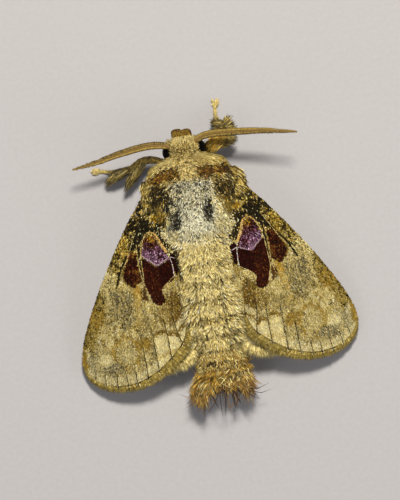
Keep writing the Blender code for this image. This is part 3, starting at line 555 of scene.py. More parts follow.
def forewing_marks(points, edge, costa):
    """Scale shares at plan points of the right forewing, with how far its outer and front edge are."""
    x, y = points[:, 0], points[:, 1]
    clouds = grain(x, y, 1.6, 3)
    drift = grain(x, y, 0.7, 5)
    fine = grain(x, y, 0.3, 9)
    layers = blank(points, cream=0.38, straw=0.34, ochre=0.15, umber=0.08, soot=0.05)
    paint(layers, 0.9 * ramp(0.48, 0.72, clouds), ochre=0.42, straw=0.34, umber=0.16, soot=0.08)
    paint(layers, 0.8 * ramp(0.52, 0.75, drift), ochre=0.3, olive=0.36, umber=0.24, soot=0.1)
    paint(layers, 0.6 * ramp(0.56, 0.78, fine), cream=0.8, white=0.2)
    outer = ramp(14.5, 17.5, y)
    paint(layers, 0.6 * outer * ramp(0.35, 0.6, clouds), grey=0.4, cream=0.4, straw=0.15, umber=0.05)
    paint(
        layers, 0.9 * (1 - ramp(0.9, 1.5, costa)) * ramp(3.0, 6.0, y), straw=0.3, ochre=0.34, olive=0.2,
        umber=0.08, soot=0.08,
    )
    paint(layers, 0.9 * (1 - ramp(0.12, 0.34, costa)), olive=0.45, ochre=0.2, umber=0.2, soot=0.15)
    dots = ramp(0.6, 0.66, grain(x, y, 0.22, 21)) * (1 - ramp(0.6, 1.3, costa)) * ramp(4.0, 6.0, y)
    paint(layers, 0.85 * dots, soot=0.6, umber=0.4)
    base = 1 - ramp(7.0, 9.4, y + 0.25 * x - 1.5)
    paint(layers, 0.9 * base, straw=0.22, ochre=0.14, grey=0.1, umber=0.24, soot=0.3)
    paint(
        layers, 0.85 * base * ramp(0.55, 0.66, drift), gold=0.08, straw=0.44, cream=0.22, grey=0.1,
        ochre=0.16,
    )
    paint(layers, 0.9 * base * ramp(0.56, 0.66, grain(x, y, 0.5, 11)), soot=0.9, umber=0.1)
    paint(
        layers, spot(points, (7.3, 8.6), (0.7, 1.4), seed=14), ochre=0.45, gold=0.15, straw=0.22, soot=0.18
    )
    paint(
        layers, 0.9 * spot(points, (9.7, 11.6), (0.9, 1.9), seed=15), cream=0.5, straw=0.34, grey=0.06,
        soot=0.1,
    )
    paint(
        layers, 0.85 * spot(points, (8.7, 14.4), (1.25, 1.7), 0.5, 0.5, 16), grey=0.34, umber=0.22,
        straw=0.24, cream=0.08, soot=0.12,
    )
    paint(
        layers, 0.6 * spot(points, (9.4, 13.0), (0.45, 0.9), 0.5, 0.5, 17), soot=0.3, umber=0.35, grey=0.35
    )
    paint(
        layers, 0.8 * spot(points, (11.6, 14.6), (0.8, 1.2), seed=18), gold=0.25, ochre=0.4, soot=0.18,
        straw=0.17,
    )
    paint(
        layers, 0.95 * spot(points, (3.8, 15.0), (0.9, 1.7), seed=19), umber=0.38, ochre=0.36, rust=0.12,
        cream=0.04, soot=0.1,
    )
    paint(
        layers, 0.8 * spot(points, (5.0, 15.6), (0.7, 1.0), seed=23), umber=0.38, ochre=0.42, rust=0.08,
        cream=0.12,
    )
    paint(
        layers, 0.8 * spot(points, (6.7, 16.2), (1.0, 0.8), seed=24), grey=0.3, straw=0.35, umber=0.22,
        ochre=0.13,
    )
    paint(layers, 0.95 * spot(points, (7.15, 12.9), (0.42, 0.8), seed=20), gold=0.62, straw=0.28, ochre=0.1)
    streak = stroke(points, ((7.1, 13.2), (7.35, 14.4), (7.75, 15.9)), 0.5, 0.2, 0.25, 22)
    paint(layers, 0.75 * streak, gold=0.4, straw=0.42, cream=0.18)
    ring = np.abs(np.linalg.norm((points - np.array(GOLD_RING[0])) * (1.0, 0.85), axis=1) - GOLD_RING[1])
    broken = ramp(0.3, 0.6, grain(x, y, 0.9, 59))
    paint(
        layers, 0.75 * broken * (1 - ramp(0.05, 0.45, ring + 0.45 * (drift - 0.5))), ochre=0.62, gold=0.2,
        straw=0.18,
    )
    paint(layers, 0.8 * spot(points, (7.6, 17.9), (0.85, 0.75), seed=25), ochre=0.6, gold=0.2, umber=0.2)
    paint(layers, 0.6 * spot(points, GOLD_RING[0], (0.9, 0.9), seed=26), cream=0.45, grey=0.3, straw=0.25)
    band = (1 - ramp(0.75, 1.25, edge + 0.3 * (drift - 0.5))) * ramp(12.5, 14.5, y)
    paint(layers, 0.85 * band, cream=0.66, white=0.1, straw=0.08, grey=0.14, umber=0.02)
    paint(
        layers, 0.8 * spot(points, (10.9, 19.7), (1.15, 0.6), 0.6, 0.6, 27), grey=0.52, soot=0.16,
        umber=0.2, cream=0.12,
    )
    paint(layers, 0.7 * spot(points, (12.9, 18.9), (0.55, 0.9), seed=28), grey=0.7, cream=0.2, umber=0.1)
    paint(layers, 0.85 * spot(points, (11.6, 18.8), (0.7, 0.6), seed=29), cream=0.85, white=0.15)
    paint(layers, 0.9 * spot(points, (13.6, 18.3), (0.35, 1.3), seed=30), gold=0.3, ochre=0.4, olive=0.3)
    for index, shape in enumerate(PALE_LUNULES):
        paint(layers, 0.95 * patch(points, shape, 0.12, 0.1, 31 + index), cream=0.84, white=0.1, straw=0.06)
    paint(
        layers, 0.55 * stroke(points, ((4.2, 19.1), (5.2, 19.2), (6.5, 19.5)), 0.4, 0.2, 0.1, 3), gold=0.4,
        straw=0.6,
    )
    for index, line in enumerate(BROWN_LUNULES):
        paint(
            layers, 0.9 * stroke(points, line, 0.36, 0.12, 0.12, 35 + index), ochre=0.5, rust=0.15,
            umber=0.35,
        )
    paint(layers, patch(points, BLACK_BLOB, 0.14, 0.26, 40), soot=0.86, umber=0.1, cream=0.04)
    paint(layers, 0.95 * patch(points, BLACK_INNER, 0.14, 0.34, 41), soot=0.8, umber=0.12, cream=0.08)
    paint(layers, spot(points, (3.9, 6.15), (0.55, 0.3), seed=42), gold=0.4, ochre=0.4, soot=0.2)
    for index, line in enumerate(BLACK_LINES):
        paint(layers, 0.95 * stroke(points, line, 0.22, 0.08, 0.1, 43 + index), soot=0.9, umber=0.1)
    paint(layers, 0.95 * patch(points, CHESTNUT_WEDGE, 0.08, 0.08, 48), umber=0.5, rust=0.2, maroon=0.3)
    outer_patch = patch(points, CHESTNUT_OUTER, 0.08, 0.18, 49)
    paint(layers, outer_patch, maroon=0.52, red=0.18, rust=0.08, soot=0.22)
    paint(
        layers, 0.8 * outer_patch * ramp(0.5, 0.64, grain(x, y, 0.4, 50)), red=0.34, rust=0.36, ochre=0.12,
        maroon=0.18,
    )
    paint(layers, patch(points, CHESTNUT_INNER, 0.05, 0.06, 51), maroon=1.0)
    chestnut = patch(points, CHESTNUT, 0.04, 0.05, 52)
    paint(layers, chestnut, maroon=0.84, red=0.1, soot=0.06)
    paint(
        layers, 0.8 * chestnut * ramp(4.55, 4.85, x) * ramp(10.2, 10.8, y), maroon=0.58, red=0.24, rust=0.1,
        soot=0.08,
    )
    paint(layers, patch(points, ARCH_FILL, 0.06, 0.08, 53), maroon=0.52, rust=0.22, soot=0.16, lilac=0.1)
    paint(layers, 0.8 * spot(points, (4.72, 8.0), (0.34, 0.38), seed=54), gold=0.45, rust=0.4, umber=0.15)
    lilac = patch(points, LILAC, 0.05, 0.06, 55)
    paint(layers, lilac, lilac=0.54, pink=0.14, maroon=0.22, soot=0.1)
    stripes = ramp(0.45, 0.62, grain(x * 1.4 + y * 1.2, y - x, 0.28, 12))
    paint(
        layers, lilac * stripes * spot(points, (4.0, 9.5), (0.95, 1.05), seed=56), maroon=0.4, red=0.44,
        pink=0.16,
    )
    paint(
        layers, lilac * 0.9 * spot(points, (4.8, 8.65), (0.9, 0.45), seed=57), maroon=0.58, rust=0.22,
        lilac=0.2,
    )
    paint(layers, lilac * 0.5 * spot(points, (4.9, 9.9), (0.5, 0.5), seed=58), pink=0.5, lilac=0.5)
    paint(
        layers, 0.85 * (1 - ramp(2.85, 3.25, x + 0.4 * (drift - 0.5))) * ramp(12.4, 13.2, y), cream=0.6,
        straw=0.3, soot=0.1,
    )
    return layers


def hindwing_marks(points, edge):
    """Scale shares at plan points of a hindwing."""
    drift = grain(points[:, 0], points[:, 1], 1.1, 61)
    layers = blank(points, cream=0.7, straw=0.14, white=0.14, ochre=0.02)
    paint(layers, 0.3 * ramp(0.5, 0.8, drift), straw=0.6, ochre=0.3, umber=0.1)
    paint(layers, 0.6 * (1 - ramp(0.04, 0.16, edge)) * ramp(14.0, 16.0, points[:, 1]), umber=0.5, ochre=0.5)
    return layers


def body_marks(points):
    """Scale shares at plan points of the body."""
    x, y = np.abs(points[:, 0]), points[:, 1]
    mirrored = np.stack([x, y], axis=1)
    clouds = grain(points[:, 0], y, 1.1, 71)
    drift = grain(points[:, 0], y, 0.5, 72)
    layers = blank(points, cream=0.48, straw=0.22, gold=0.04, ochre=0.12, umber=0.06, soot=0.08)
    paint(layers, 0.7 * ramp(0.48, 0.72, drift), straw=0.36, cream=0.14, ochre=0.28, umber=0.12, soot=0.1)
    paint(layers, 0.9 * (1 - ramp(0.3, 0.9, y)), cream=0.22, straw=0.17, ochre=0.22, umber=0.22, soot=0.17)
    paint(
        layers, 0.8 * (1 - ramp(-0.75, -0.35, y + 0.5 * (drift - 0.5))), cream=0.38, grey=0.1, straw=0.28,
        umber=0.14, soot=0.1,
    )
    shoulder = ramp(0.6, 1.2, y) * (1 - ramp(2.6, 3.4, y)) * ramp(2.4, 3.2, x)
    paint(layers, 0.7 * shoulder, straw=0.4, ochre=0.25, cream=0.15, soot=0.2)
    depth = 0.8 + 0.15 * (points[:, 0] < 0)
    bar = 1 - ramp(0.25, depth, np.abs(y - 2.25 - 0.08 * x) + 1.1 * (drift - 0.5))
    bar = bar * ramp(0.6, 1.15, x + 0.5 * (clouds - 0.5)) * (1 - ramp(3.4, 4.2, x))
    paint(layers, 0.97 * bar, rust=0.34, umber=0.18, ochre=0.18, gold=0.06, soot=0.24)
    paint(layers, 0.75 * bar * (points[:, 0] < 0), rust=0.3, ochre=0.14, umber=0.3, soot=0.26)
    specks = ramp(0.6, 0.68, grain(points[:, 0], y, 0.24, 84))
    paint(layers, 0.7 * bar * specks, soot=0.8, umber=0.2)
    paint(layers, 0.25 * specks * (1 - ramp(1.4, 2.0, y)), umber=0.5, rust=0.2, soot=0.3)
    behind = ramp(2.9, 3.5, y + 0.7 * (drift - 0.5)) * (1 - ramp(7.4, 9.4, y + 1.4 * (clouds - 0.5)))
    edge = np.interp(y, (3.0, 3.6, 5.2, 6.2, 7.3, 7.9, 8.8, 9.6), (1.9, 2.1, 2.1, 2.7, 3.5, 3.4, 2.9, 2.6))
    pale = 1 - ramp(-0.25, 0.25, x - edge + 0.9 * (clouds - 0.5))
    paint(
        layers, ramp(3.0, 3.6, y) * (1 - ramp(9.0, 10.0, y)) * pale, cream=0.52, straw=0.14, white=0.22,
        soot=0.12,
    )
    saddle = behind * (1 - ramp(1.3, 2.3, x + 0.9 * (clouds - 0.5)))
    paint(layers, 0.9 * saddle, white=0.4, cream=0.1, grey=0.3, olive=0.05, umber=0.04, soot=0.11)
    paint(layers, 0.55 * saddle * specks * (1 - 0.5 * ramp(5.0, 6.2, y)), soot=0.85, umber=0.15)
    paint(layers, 0.8 * saddle * ramp(5.0, 6.2, y), white=0.66, cream=0.16, grey=0.08, soot=0.1)
    rough_sides = ramp(2.7, 3.3, y) * (1 - ramp(9.0, 9.6, y)) * (1 - pale)
    paint(layers, 0.95 * rough_sides, ochre=0.16, straw=0.18, grey=0.06, umber=0.18, cream=0.12, soot=0.3)
    paint(
        layers, rough_sides * ramp(6.0, 6.8, y + 0.4 * (drift - 0.5)), soot=0.78, umber=0.1, ochre=0.06,
        cream=0.06,
    )
    paint(
        layers, spot(points, (3.05, 4.05), (0.95, 1.0), 0.3, 0.4, 73), soot=0.74, umber=0.14, ochre=0.08,
        cream=0.04,
    )
    paint(
        layers, spot(points, (-3.5, 4.4), (1.15, 0.95), 0.35, 0.5, 81), soot=0.6, umber=0.2, ochre=0.12,
        cream=0.08,
    )
    paint(
        layers, 0.8 * spot(mirrored, (4.4, 3.3), (0.35, 0.8), 0.3, 0.3, 74), straw=0.4, ochre=0.32,
        soot=0.28,
    )
    slash = stroke(points, ((-3.4, 2.1), (-4.1, 3.0), (-4.8, 4.0)), 0.4, 0.15, 0.3, 83)
    paint(layers, 0.75 * slash, soot=0.66, umber=0.34)
    for centre, radii, seed in (((2.1, 6.15), (0.9, 1.45), 75), ((-1.36, 6.2), (0.5, 0.95), 80)):
        paint(
            layers, 0.97 * spot(points, centre, radii, 0.45, 0.55, seed), soot=0.82, umber=0.06, grey=0.06,
            white=0.06,
        )
    paint(
        layers, 0.85 * spot(mirrored, (3.4, 6.0), (0.6, 0.6), 0.3, 0.3, 76), gold=0.16, ochre=0.36,
        soot=0.22, straw=0.26,
    )
    paint(
        layers, 0.85 * spot(mirrored, (3.6, 7.2), (0.45, 0.5), 0.3, 0.4, 79), soot=0.75, umber=0.15,
        cream=0.1,
    )
    paint(
        layers, 0.45 * spot(mirrored, (0.2, 3.4), (0.8, 0.5), 0.4, 0.4, 77), grey=0.3, soot=0.35, white=0.35
    )
    rear = ramp(9.0, 10.5, y)
    paint(layers, 0.85 * rear, cream=0.66, straw=0.19, white=0.06, ochre=0.03, umber=0.03, soot=0.03)
    # Painted shade: darker rings in the folds between the abdomen's segments.
    for middle, reach, strength in (
        (11.3, 0.4, 0.3), (13.2, 0.5, 0.4), (15.0, 0.6, 0.45), (16.7, 0.5, 0.55), (18.4, 0.4, 0.5)
    ):
        ring = 1 - ramp(0.3 * reach, reach, np.abs(y - middle) + 0.5 * (drift - 0.5))
        paint(layers, strength * ring, umber=0.32, ochre=0.24, soot=0.24, straw=0.2)
    # Dark specks and painted shade along the valley between the abdomen and the wing on the moth's left.
    valley_specks_and_shade = ramp(8.7, 9.1, y) * (1 - ramp(12.2, 12.8, y)) * ramp(
        2.1, 2.35, points[:, 0] + 0.4 * (drift - 0.5)
    )
    paint(layers, 0.9 * valley_specks_and_shade, soot=0.85, umber=0.15)
    tail = ramp(19.2, 20.4, y + 0.6 * (clouds - 0.5))
    paint(layers, 0.85 * tail, gold=0.34, straw=0.24, cream=0.14, ochre=0.1, umber=0.14, soot=0.04)
    paint(
        layers, 0.7 * tail * ramp(0.5, 0.62, grain(points[:, 0], y, 0.4, 85)), cream=0.52, straw=0.38,
        umber=0.1,
    )
    # Dark rows across the tail's tiers: dark hair tips and painted shade between the tiers.
    crumbs = ramp(0.38, 0.58, grain(points[:, 0], y, 0.22, 87))
    for row, reach, strength in ((19.8, 0.22, 0.45), (20.92, 0.26, 0.95)):
        line = 1 - ramp(0.4 * reach, reach, np.abs(y - row + 0.35 * (drift - 0.5)))
        paint(layers, strength * line * crumbs * (1 - 0.7 * ramp(0.9, 1.6, x)), soot=0.76, umber=0.24)
    return layers


def mean_colours(layers):
    """Mixed colour of the scales at each place."""
    return (layers / layers.sum(axis=1, keepdims=True)) @ palette()


def drawn_colours(layers, rng, uneven=0.16, own=0.75):
    """One scale's colour for each place, drawn from its shares and partly mixed with its neighbours'."""
    steps = np.cumsum(layers / layers.sum(axis=1, keepdims=True), axis=1)
    index = np.minimum((steps < rng.random(len(layers))[:, None]).sum(axis=1), len(NAMES) - 1)
    dark = (index == NAMES.index("soot"))[:, None]
    own = np.where(dark, 0.9, own)
    mixed = own * palette()[index] + (1 - own) * mean_colours(layers)
    return np.clip(mixed * np.exp(rng.normal(0, uneven, (len(layers), 1))), 0, 1)


def add_object(name, data):
    """Object of a mesh, a light or the camera, in the scene."""
    thing = bpy.data.objects.new(name, data)
    bpy.context.scene.collection.objects.link(thing)
    return thing


def mesh_piece(name, points, faces, colours=None, bake=None, extra=None):
    """Object from arrays: points in millimetres, and faces with equal numbers of corners."""
    mesh = bpy.data.meshes.new(name)
    points = (np.asarray(points, float).reshape(-1, 3) + SHIFT) * MM
    faces = np.asarray(faces, np.int32)
    mesh.vertices.add(len(points))
    mesh.vertices.foreach_set("co", points.ravel())
    if len(faces):
        mesh.loops.add(faces.size)
        mesh.loops.foreach_set("vertex_index", faces.ravel())
        mesh.polygons.add(len(faces))
        mesh.polygons.foreach_set("loop_start", np.arange(0, faces.size, faces.shape[1], dtype=np.int32))
    mesh.update(calc_edges=True)
    if colours is not None:
        layer = mesh.attributes.new("scale_colour", "FLOAT_COLOR", "POINT")
        layer.data.foreach_set(
            "color", np.concatenate([colours, np.ones((len(colours), 1))], axis=1).ravel()
        )
    for key, values in (extra or {}).items():
        kind = "FLOAT" if np.ndim(values) == 1 else "FLOAT_VECTOR"
        layer = mesh.attributes.new(key, kind, "POINT")
        layer.data.foreach_set("value" if kind == "FLOAT" else "vector", np.asarray(values, float).ravel())
    if bake is not None:
        mesh.uv_layers.new(name="OFBake").data.foreach_set("uv", np.asarray(bake, float).ravel())
    mesh.validate()
    mesh.shade_smooth()
    return add_object(name, mesh)


def finish_piece(piece, material, nodes):
    """Give a piece its material, its body and the solids that it stands for."""
    piece.data.materials.clear()
    piece.data.materials.append(material)
    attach(piece, "root")
    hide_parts(*nodes)


def tube_arrays(path, widths, heights, sides, over=(0.0, 0.0, 1.0), power=1.0):
    """Points and triangles of a closed tube along a path."""
    ahead = unit(np.gradient(path, axis=0))
    across = unit(np.cross(ahead, np.array(over)))
    lift = np.cross(across, ahead)
    angles = 2 * np.pi * np.arange(sides) / sides
    ring = across[:, None] * squared(
        np.cos(angles), power
    )[None, :, None] * np.asarray(widths)[:, None, None]
    ring = ring + lift[:, None] * squared(
        np.sin(angles), power
    )[None, :, None] * np.asarray(heights)[:, None, None]
    points = (path[:, None] + ring).reshape(-1, 3)
    points = np.concatenate([points, path[:1], path[-1:]])
    faces = []
    for row in range(len(path) - 1):
        for step in range(sides):
            near = row * sides + step
            beside = row * sides + (step + 1) % sides
            faces += [(near, beside, beside + sides), (near, beside + sides, near + sides)]
    last = (len(path) - 1) * sides
    for step in range(sides):
        after = (step + 1) % sides
        faces += [(step, len(points) - 2, after), (last + step, last + after, len(points) - 1)]
    return points, np.array(faces)


def face_outwards(piece):
    """Turn the faces of a closed piece outwards."""
    work = bmesh.new()
    work.from_mesh(piece.data)
    bmesh.ops.recalc_face_normals(work, faces=work.faces)
    work.to_mesh(piece.data)
    work.free()


def hair_piece(name, paths, outward, widths, colours, places):
    """Tapered three-sided hair scales along paths, joined in one mesh, each with its bake patch."""
    count, steps, _ = paths.shape
    ahead = unit(np.gradient(paths, axis=1))
    across = unit(np.cross(ahead, outward))
    lift = np.cross(across, ahead)
    taper = np.interp(np.arange(steps - 1) / (steps - 1), (0.0, 0.35, 0.75, 1.0), (0.6, 1.0, 0.85, 0.4))
    size = widths[:, None, None] * taper[None, :, None]
    rings = paths[:, :-1]
    corners = np.stack(
        [
            rings - across[:, :-1] * size,
            rings + across[:, :-1] * size,
            rings + lift[:, :-1] * size * HAIR_FLATNESS,
        ],
        axis=2,
    ).reshape(count, -1, 3)
    points = np.concatenate([corners, paths[:, -1:]], axis=1)
    each = points.shape[1]
    faces = [(0, 2, 1)]
    for row in range(steps - 2):
        for step in range(3):
            near = row * 3 + step
            beside = row * 3 + (step + 1) % 3
            faces += [(near, beside, beside + 3), (near, beside + 3, near + 3)]
    faces += [((steps - 2) * 3 + step, (steps - 2) * 3 + (step + 1) % 3, each - 1) for step in range(3)]
    faces = np.array(faces)
    along = np.concatenate([np.repeat(np.arange(steps - 1) / (steps - 1), 3), [1.0]])
    side = np.concatenate([np.tile((0.0, 1.0, 0.5), steps - 1), [0.5]])
    local = np.stack([side, along], axis=1)[faces]
    bake = places[:, None, None, :] + BAKE_PATCH * local[None]
    all_faces = (faces[None] + (np.arange(count) * each)[:, None, None]).reshape(-1, 3)
    shade = np.repeat(colours, each, axis=0)
    tip = np.tile(along, count)
    return mesh_piece(name, points, all_faces, shade, bake, {"tip": tip})


def node(tree, kind, sockets=None, **features):
    """Add a node with its settings, and fill or link its inputs."""
    made = tree.nodes.new(kind)
    for key, value in features.items():
        setattr(made, key, value)
    for key, value in (sockets or {}).items():
        if isinstance(value, bpy.types.NodeSocket):
            tree.links.new(value, made.inputs[key])
        else:
            made.inputs[key].default_value = value
    return made


def new_material(name):
    """Empty node material and its tree."""
    material = bpy.data.materials.new(name)
    material.use_nodes = True
    tree = material.node_tree
    tree.nodes.clear()
    return material, tree


def scaled_colour(tree, colour, share):
    """A colour made darker or lighter by a share."""
    toned = node(tree, "ShaderNodeVectorMath", {0: colour, "Scale": share}, operation="SCALE")
    return toned.outputs["Vector"]


def relief(tree, height, strength, depth_mm, **features):
    """Surface direction of small relief."""
    sockets = {"Height": height, "Strength": strength, "Distance": depth_mm * MM}
    return node(tree, "ShaderNodeBump", sockets, **features).outputs["Normal"]


def close_material(tree, colour, roughness, specular, index, **more):
    """Add the surface and the output."""
    sockets = {
        "Base Color": colour, "Roughness": roughness, "IOR": index, "Specular IOR Level": specular, **more
    }
    surface = node(tree, "ShaderNodeBsdfPrincipled", sockets)
    node(tree, "ShaderNodeOutputMaterial", {"Surface": surface.outputs["BSDF"]})


def scale_material(name, roughness, specular=0.4, root_shade=0.55, tip_light=1.0, bump=0.25):
    """Chitin scales: the drawn colour times a share that runs from root to tip, mostly painted shade at the
    root and a painted highlight at the tip, with fine ribs and a soft broken gloss.
    """
    material, tree = new_material(name)
    place = node(tree, "ShaderNodeTexCoord").outputs["Object"]
    colour = node(tree, "ShaderNodeAttribute", attribute_name="scale_colour")
    tip = node(tree, "ShaderNodeAttribute", attribute_name="tip")
    noise = node(
        tree, "ShaderNodeTexNoise", {"Vector": place, "Scale": 1 / (SCALE_GRAIN * MM), "Detail": 2.0}
    )
    ribs = noise.outputs["Fac"]
    # Painted shade and highlight: the colour is scaled from the root share at the scale's root to the tip
    # share at its tip.
    sockets = {"Value": tip.outputs["Fac"], "From Max": 0.8, "To Min": root_shade, "To Max": tip_light}
    shade = node(tree, "ShaderNodeMapRange", sockets)
    sockets = {"Value": ribs, "From Min": 0.3, "From Max": 0.7, "To Min": 0.85, "To Max": 1.15}
    fleck = node(tree, "ShaderNodeMapRange", sockets)
    sockets = {0: shade.outputs["Result"], 1: fleck.outputs["Result"]}
    both = node(tree, "ShaderNodeMath", sockets, operation="MULTIPLY")
    toned = scaled_colour(tree, colour.outputs["Color"], both.outputs["Value"])
    close_material(tree, toned, roughness, specular, CHITIN_INDEX, Normal=relief(tree, ribs, bump, 0.02))
    return material


def skin_material(name, roughness, rows_mm):
    """Surface under the coat: the mixed colour of its scales, in shingled rows with painted shade in the gaps
    between them.
    """
    material, tree = new_material(name)
    place = node(tree, "ShaderNodeTexCoord").outputs["Object"]
    colour = node(tree, "ShaderNodeAttribute", attribute_name="scale_colour")
    cells = node(tree, "ShaderNodeTexVoronoi", {"Vector": place, "Scale": 1 / (rows_mm * MM)})
    # Painted shade: darker in the gaps between the rows, where the bump dents the surface.
    sockets = {"Value": cells.outputs["Distance"], "From Max": 0.7, "To Min": 1.0, "To Max": 0.55}
    tone = node(tree, "ShaderNodeMapRange", sockets).outputs["Result"]
    toned = scaled_colour(tree, colour.outputs["Color"], tone)
    close_material(tree, toned, roughness, 0.15, CHITIN_INDEX, Normal=relief(tree, tone, 0.5, 0.03))
    return material


def shared_material(make, name, *values, **more):
    """A material that several pieces wear, made once."""
    return bpy.data.materials.get(name) or make(name, *values, **more)


def vane_shape():
    """Unit wing scale: narrow at its root, broad and toothed at its end, slightly crowned."""
    outline = ((0.0, 0.0), (0.5, 0.5), (0.36, 1.0), (-0.28, 0.95), (-0.5, 0.5))
    points = [(x, y, 0.0) for x, y in outline] + [(0.0, 0.5, 1.0)]
    faces = [(index, (index + 1) % 5, 5) for index in range(5)]
    faces += [(0, 4, 1), (4, 3, 1), (3, 2, 1)]
    return points, faces


def tooth_shape():
    """Unit comb tooth or fringe scale: long, three-sided and tapered to a blunt point."""
    points = []
    for y, width, height in ((0.0, 0.42, 0.0), (0.62, 0.5, 0.12)):
        points += [(-width, y, height), (width, y, height), (0.0, y, height + 0.8)]
    points.append((0.0, 1.0, 0.1))
    faces = [(0, 2, 1), (3, 4, 6), (4, 5, 6), (5, 3, 6)]
    for step in range(3):
        beside = (step + 1) % 3
        faces += [(step, beside, beside + 3), (step, beside + 3, step + 3)]
    return points, faces


def scale_object(name, shape):
    """One scale to be repeated, with its length as the attribute tip and its own small unwrap."""
    points, faces = shape
    mesh = bpy.data.meshes.new(name)
    mesh.from_pydata(points, [], faces)
    work = bmesh.new()
    work.from_mesh(mesh)
    bmesh.ops.recalc_face_normals(work, faces=work.faces)
    work.to_mesh(mesh)
    work.free()
    mesh.attributes.new("tip", "FLOAT", "POINT").data.foreach_set("value", [point[1] for point in points])
    layer = mesh.attributes.new("own_place", "FLOAT_VECTOR", "POINT")
    layer.data.foreach_set("vector", np.array([(x + 0.5, y, 0.0) for x, y, _ in points]).ravel())
    mesh.shade_smooth()
    thing = add_object(name, mesh)
    thing.hide_render = True
    return thing


def coat_tree():
    """Geometry nodes that set one scale on every root, turned and sized by the root's attributes."""
    tree = bpy.data.node_groups.get("Scales on roots")
    if tree:
        return tree
    tree = bpy.data.node_groups.new("Scales on roots", "GeometryNodeTree")
    face = tree.interface
    face.new_socket("Roots", in_out="INPUT", socket_type="NodeSocketGeometry")
    face.new_socket("Scale shape", in_out="INPUT", socket_type="NodeSocketObject")
    face.new_socket("Bake patch", in_out="INPUT", socket_type="NodeSocketFloat").default_value = BAKE_PATCH
    face.new_socket("Material", in_out="INPUT", socket_type="NodeSocketMaterial")
    face.new_socket("Coat", in_out="OUTPUT", socket_type="NodeSocketGeometry")
    given = node(tree, "NodeGroupInput")
    shape = node(tree, "GeometryNodeObjectInfo", {"Object": given.outputs["Scale shape"]})
    turn = node(tree, "GeometryNodeInputNamedAttribute", {"Name": "turn"}, data_type="FLOAT_VECTOR")
    turned = node(tree, "FunctionNodeEulerToRotation", {0: turn.outputs["Attribute"]})
    size = node(tree, "GeometryNodeInputNamedAttribute", {"Name": "size"}, data_type="FLOAT_VECTOR")
    scales = node(
        tree,
        "GeometryNodeInstanceOnPoints",
        {
            "Points": given.outputs["Roots"],
            "Instance": shape.outputs["Geometry"],
            "Rotation": turned.outputs[0],
            "Scale": size.outputs["Attribute"],
        },
    )
    real = node(tree, "GeometryNodeRealizeInstances", {"Geometry": scales.outputs["Instances"]})
    root_place = node(
        tree, "GeometryNodeInputNamedAttribute", {"Name": "root_place"}, data_type="FLOAT_VECTOR"
    )
    own_place = node(
        tree, "GeometryNodeInputNamedAttribute", {"Name": "own_place"}, data_type="FLOAT_VECTOR"
    )
    place = node(
        tree,
        "ShaderNodeVectorMath",
        {
            0: own_place.outputs["Attribute"], 1: given.outputs["Bake patch"],
            2: root_place.outputs["Attribute"],
        },
        operation="MULTIPLY_ADD",
    )
    mapped = node(
        tree,
        "GeometryNodeStoreNamedAttribute",
        {"Geometry": real.outputs["Geometry"], "Name": "OFBake", "Value": place.outputs["Vector"]},
        data_type="FLOAT2",
        domain="CORNER",
    )
    covered = node(
        tree, "GeometryNodeSetMaterial", {
            "Geometry": mapped.outputs["Geometry"], "Material": given.outputs["Material"]
        }
    )
    node(tree, "NodeGroupOutput", {"Coat": covered.outputs["Geometry"]})
    return tree


def scale_piece(name, shape, roots, ahead, outward, sizes, colours, places, material):
    """Mesh of one scale repeated on every root."""
    side = unit(np.cross(ahead, outward))
    lift = np.cross(side, ahead)
    turn = np.stack(
        [
            np.arctan2(ahead[:, 2], lift[:, 2]),
            -np.arcsin(np.clip(side[:, 2], -1, 1)),
            np.arctan2(side[:, 1], side[:, 0]),
        ],
        axis=1,
    )
    flat_places = np.concatenate([places, np.zeros((len(places), 1))], axis=1)
    extra = {"turn": turn, "size": sizes * MM, "root_place": flat_places}
    holder = mesh_piece(name + "_roots", roots, (), colours, None, extra)
    scale = scale_object(name + "_scale", shape())
    tree = coat_tree()
    grown = holder.modifiers.new("coat", "NODES")
    grown.node_group = tree
    named = {item.name: item.identifier for item in tree.interface.items_tree if item.in_out == "INPUT"}
    grown[named["Scale shape"]] = scale
    grown[named["Bake patch"]] = BAKE_PATCH
    grown[named["Material"]] = material
    bpy.context.view_layer.update()
    result = holder.evaluated_get(bpy.context.evaluated_depsgraph_get())
    mesh = bpy.data.meshes.new_from_object(result)
    mesh.name = name
    for spare in ("turn", "size", "root_place", "own_place"):
        if spare in mesh.attributes:
            mesh.attributes.remove(mesh.attributes[spare])
    bpy.data.objects.remove(holder)
    bpy.data.objects.remove(scale)
    return add_object(name, mesh)


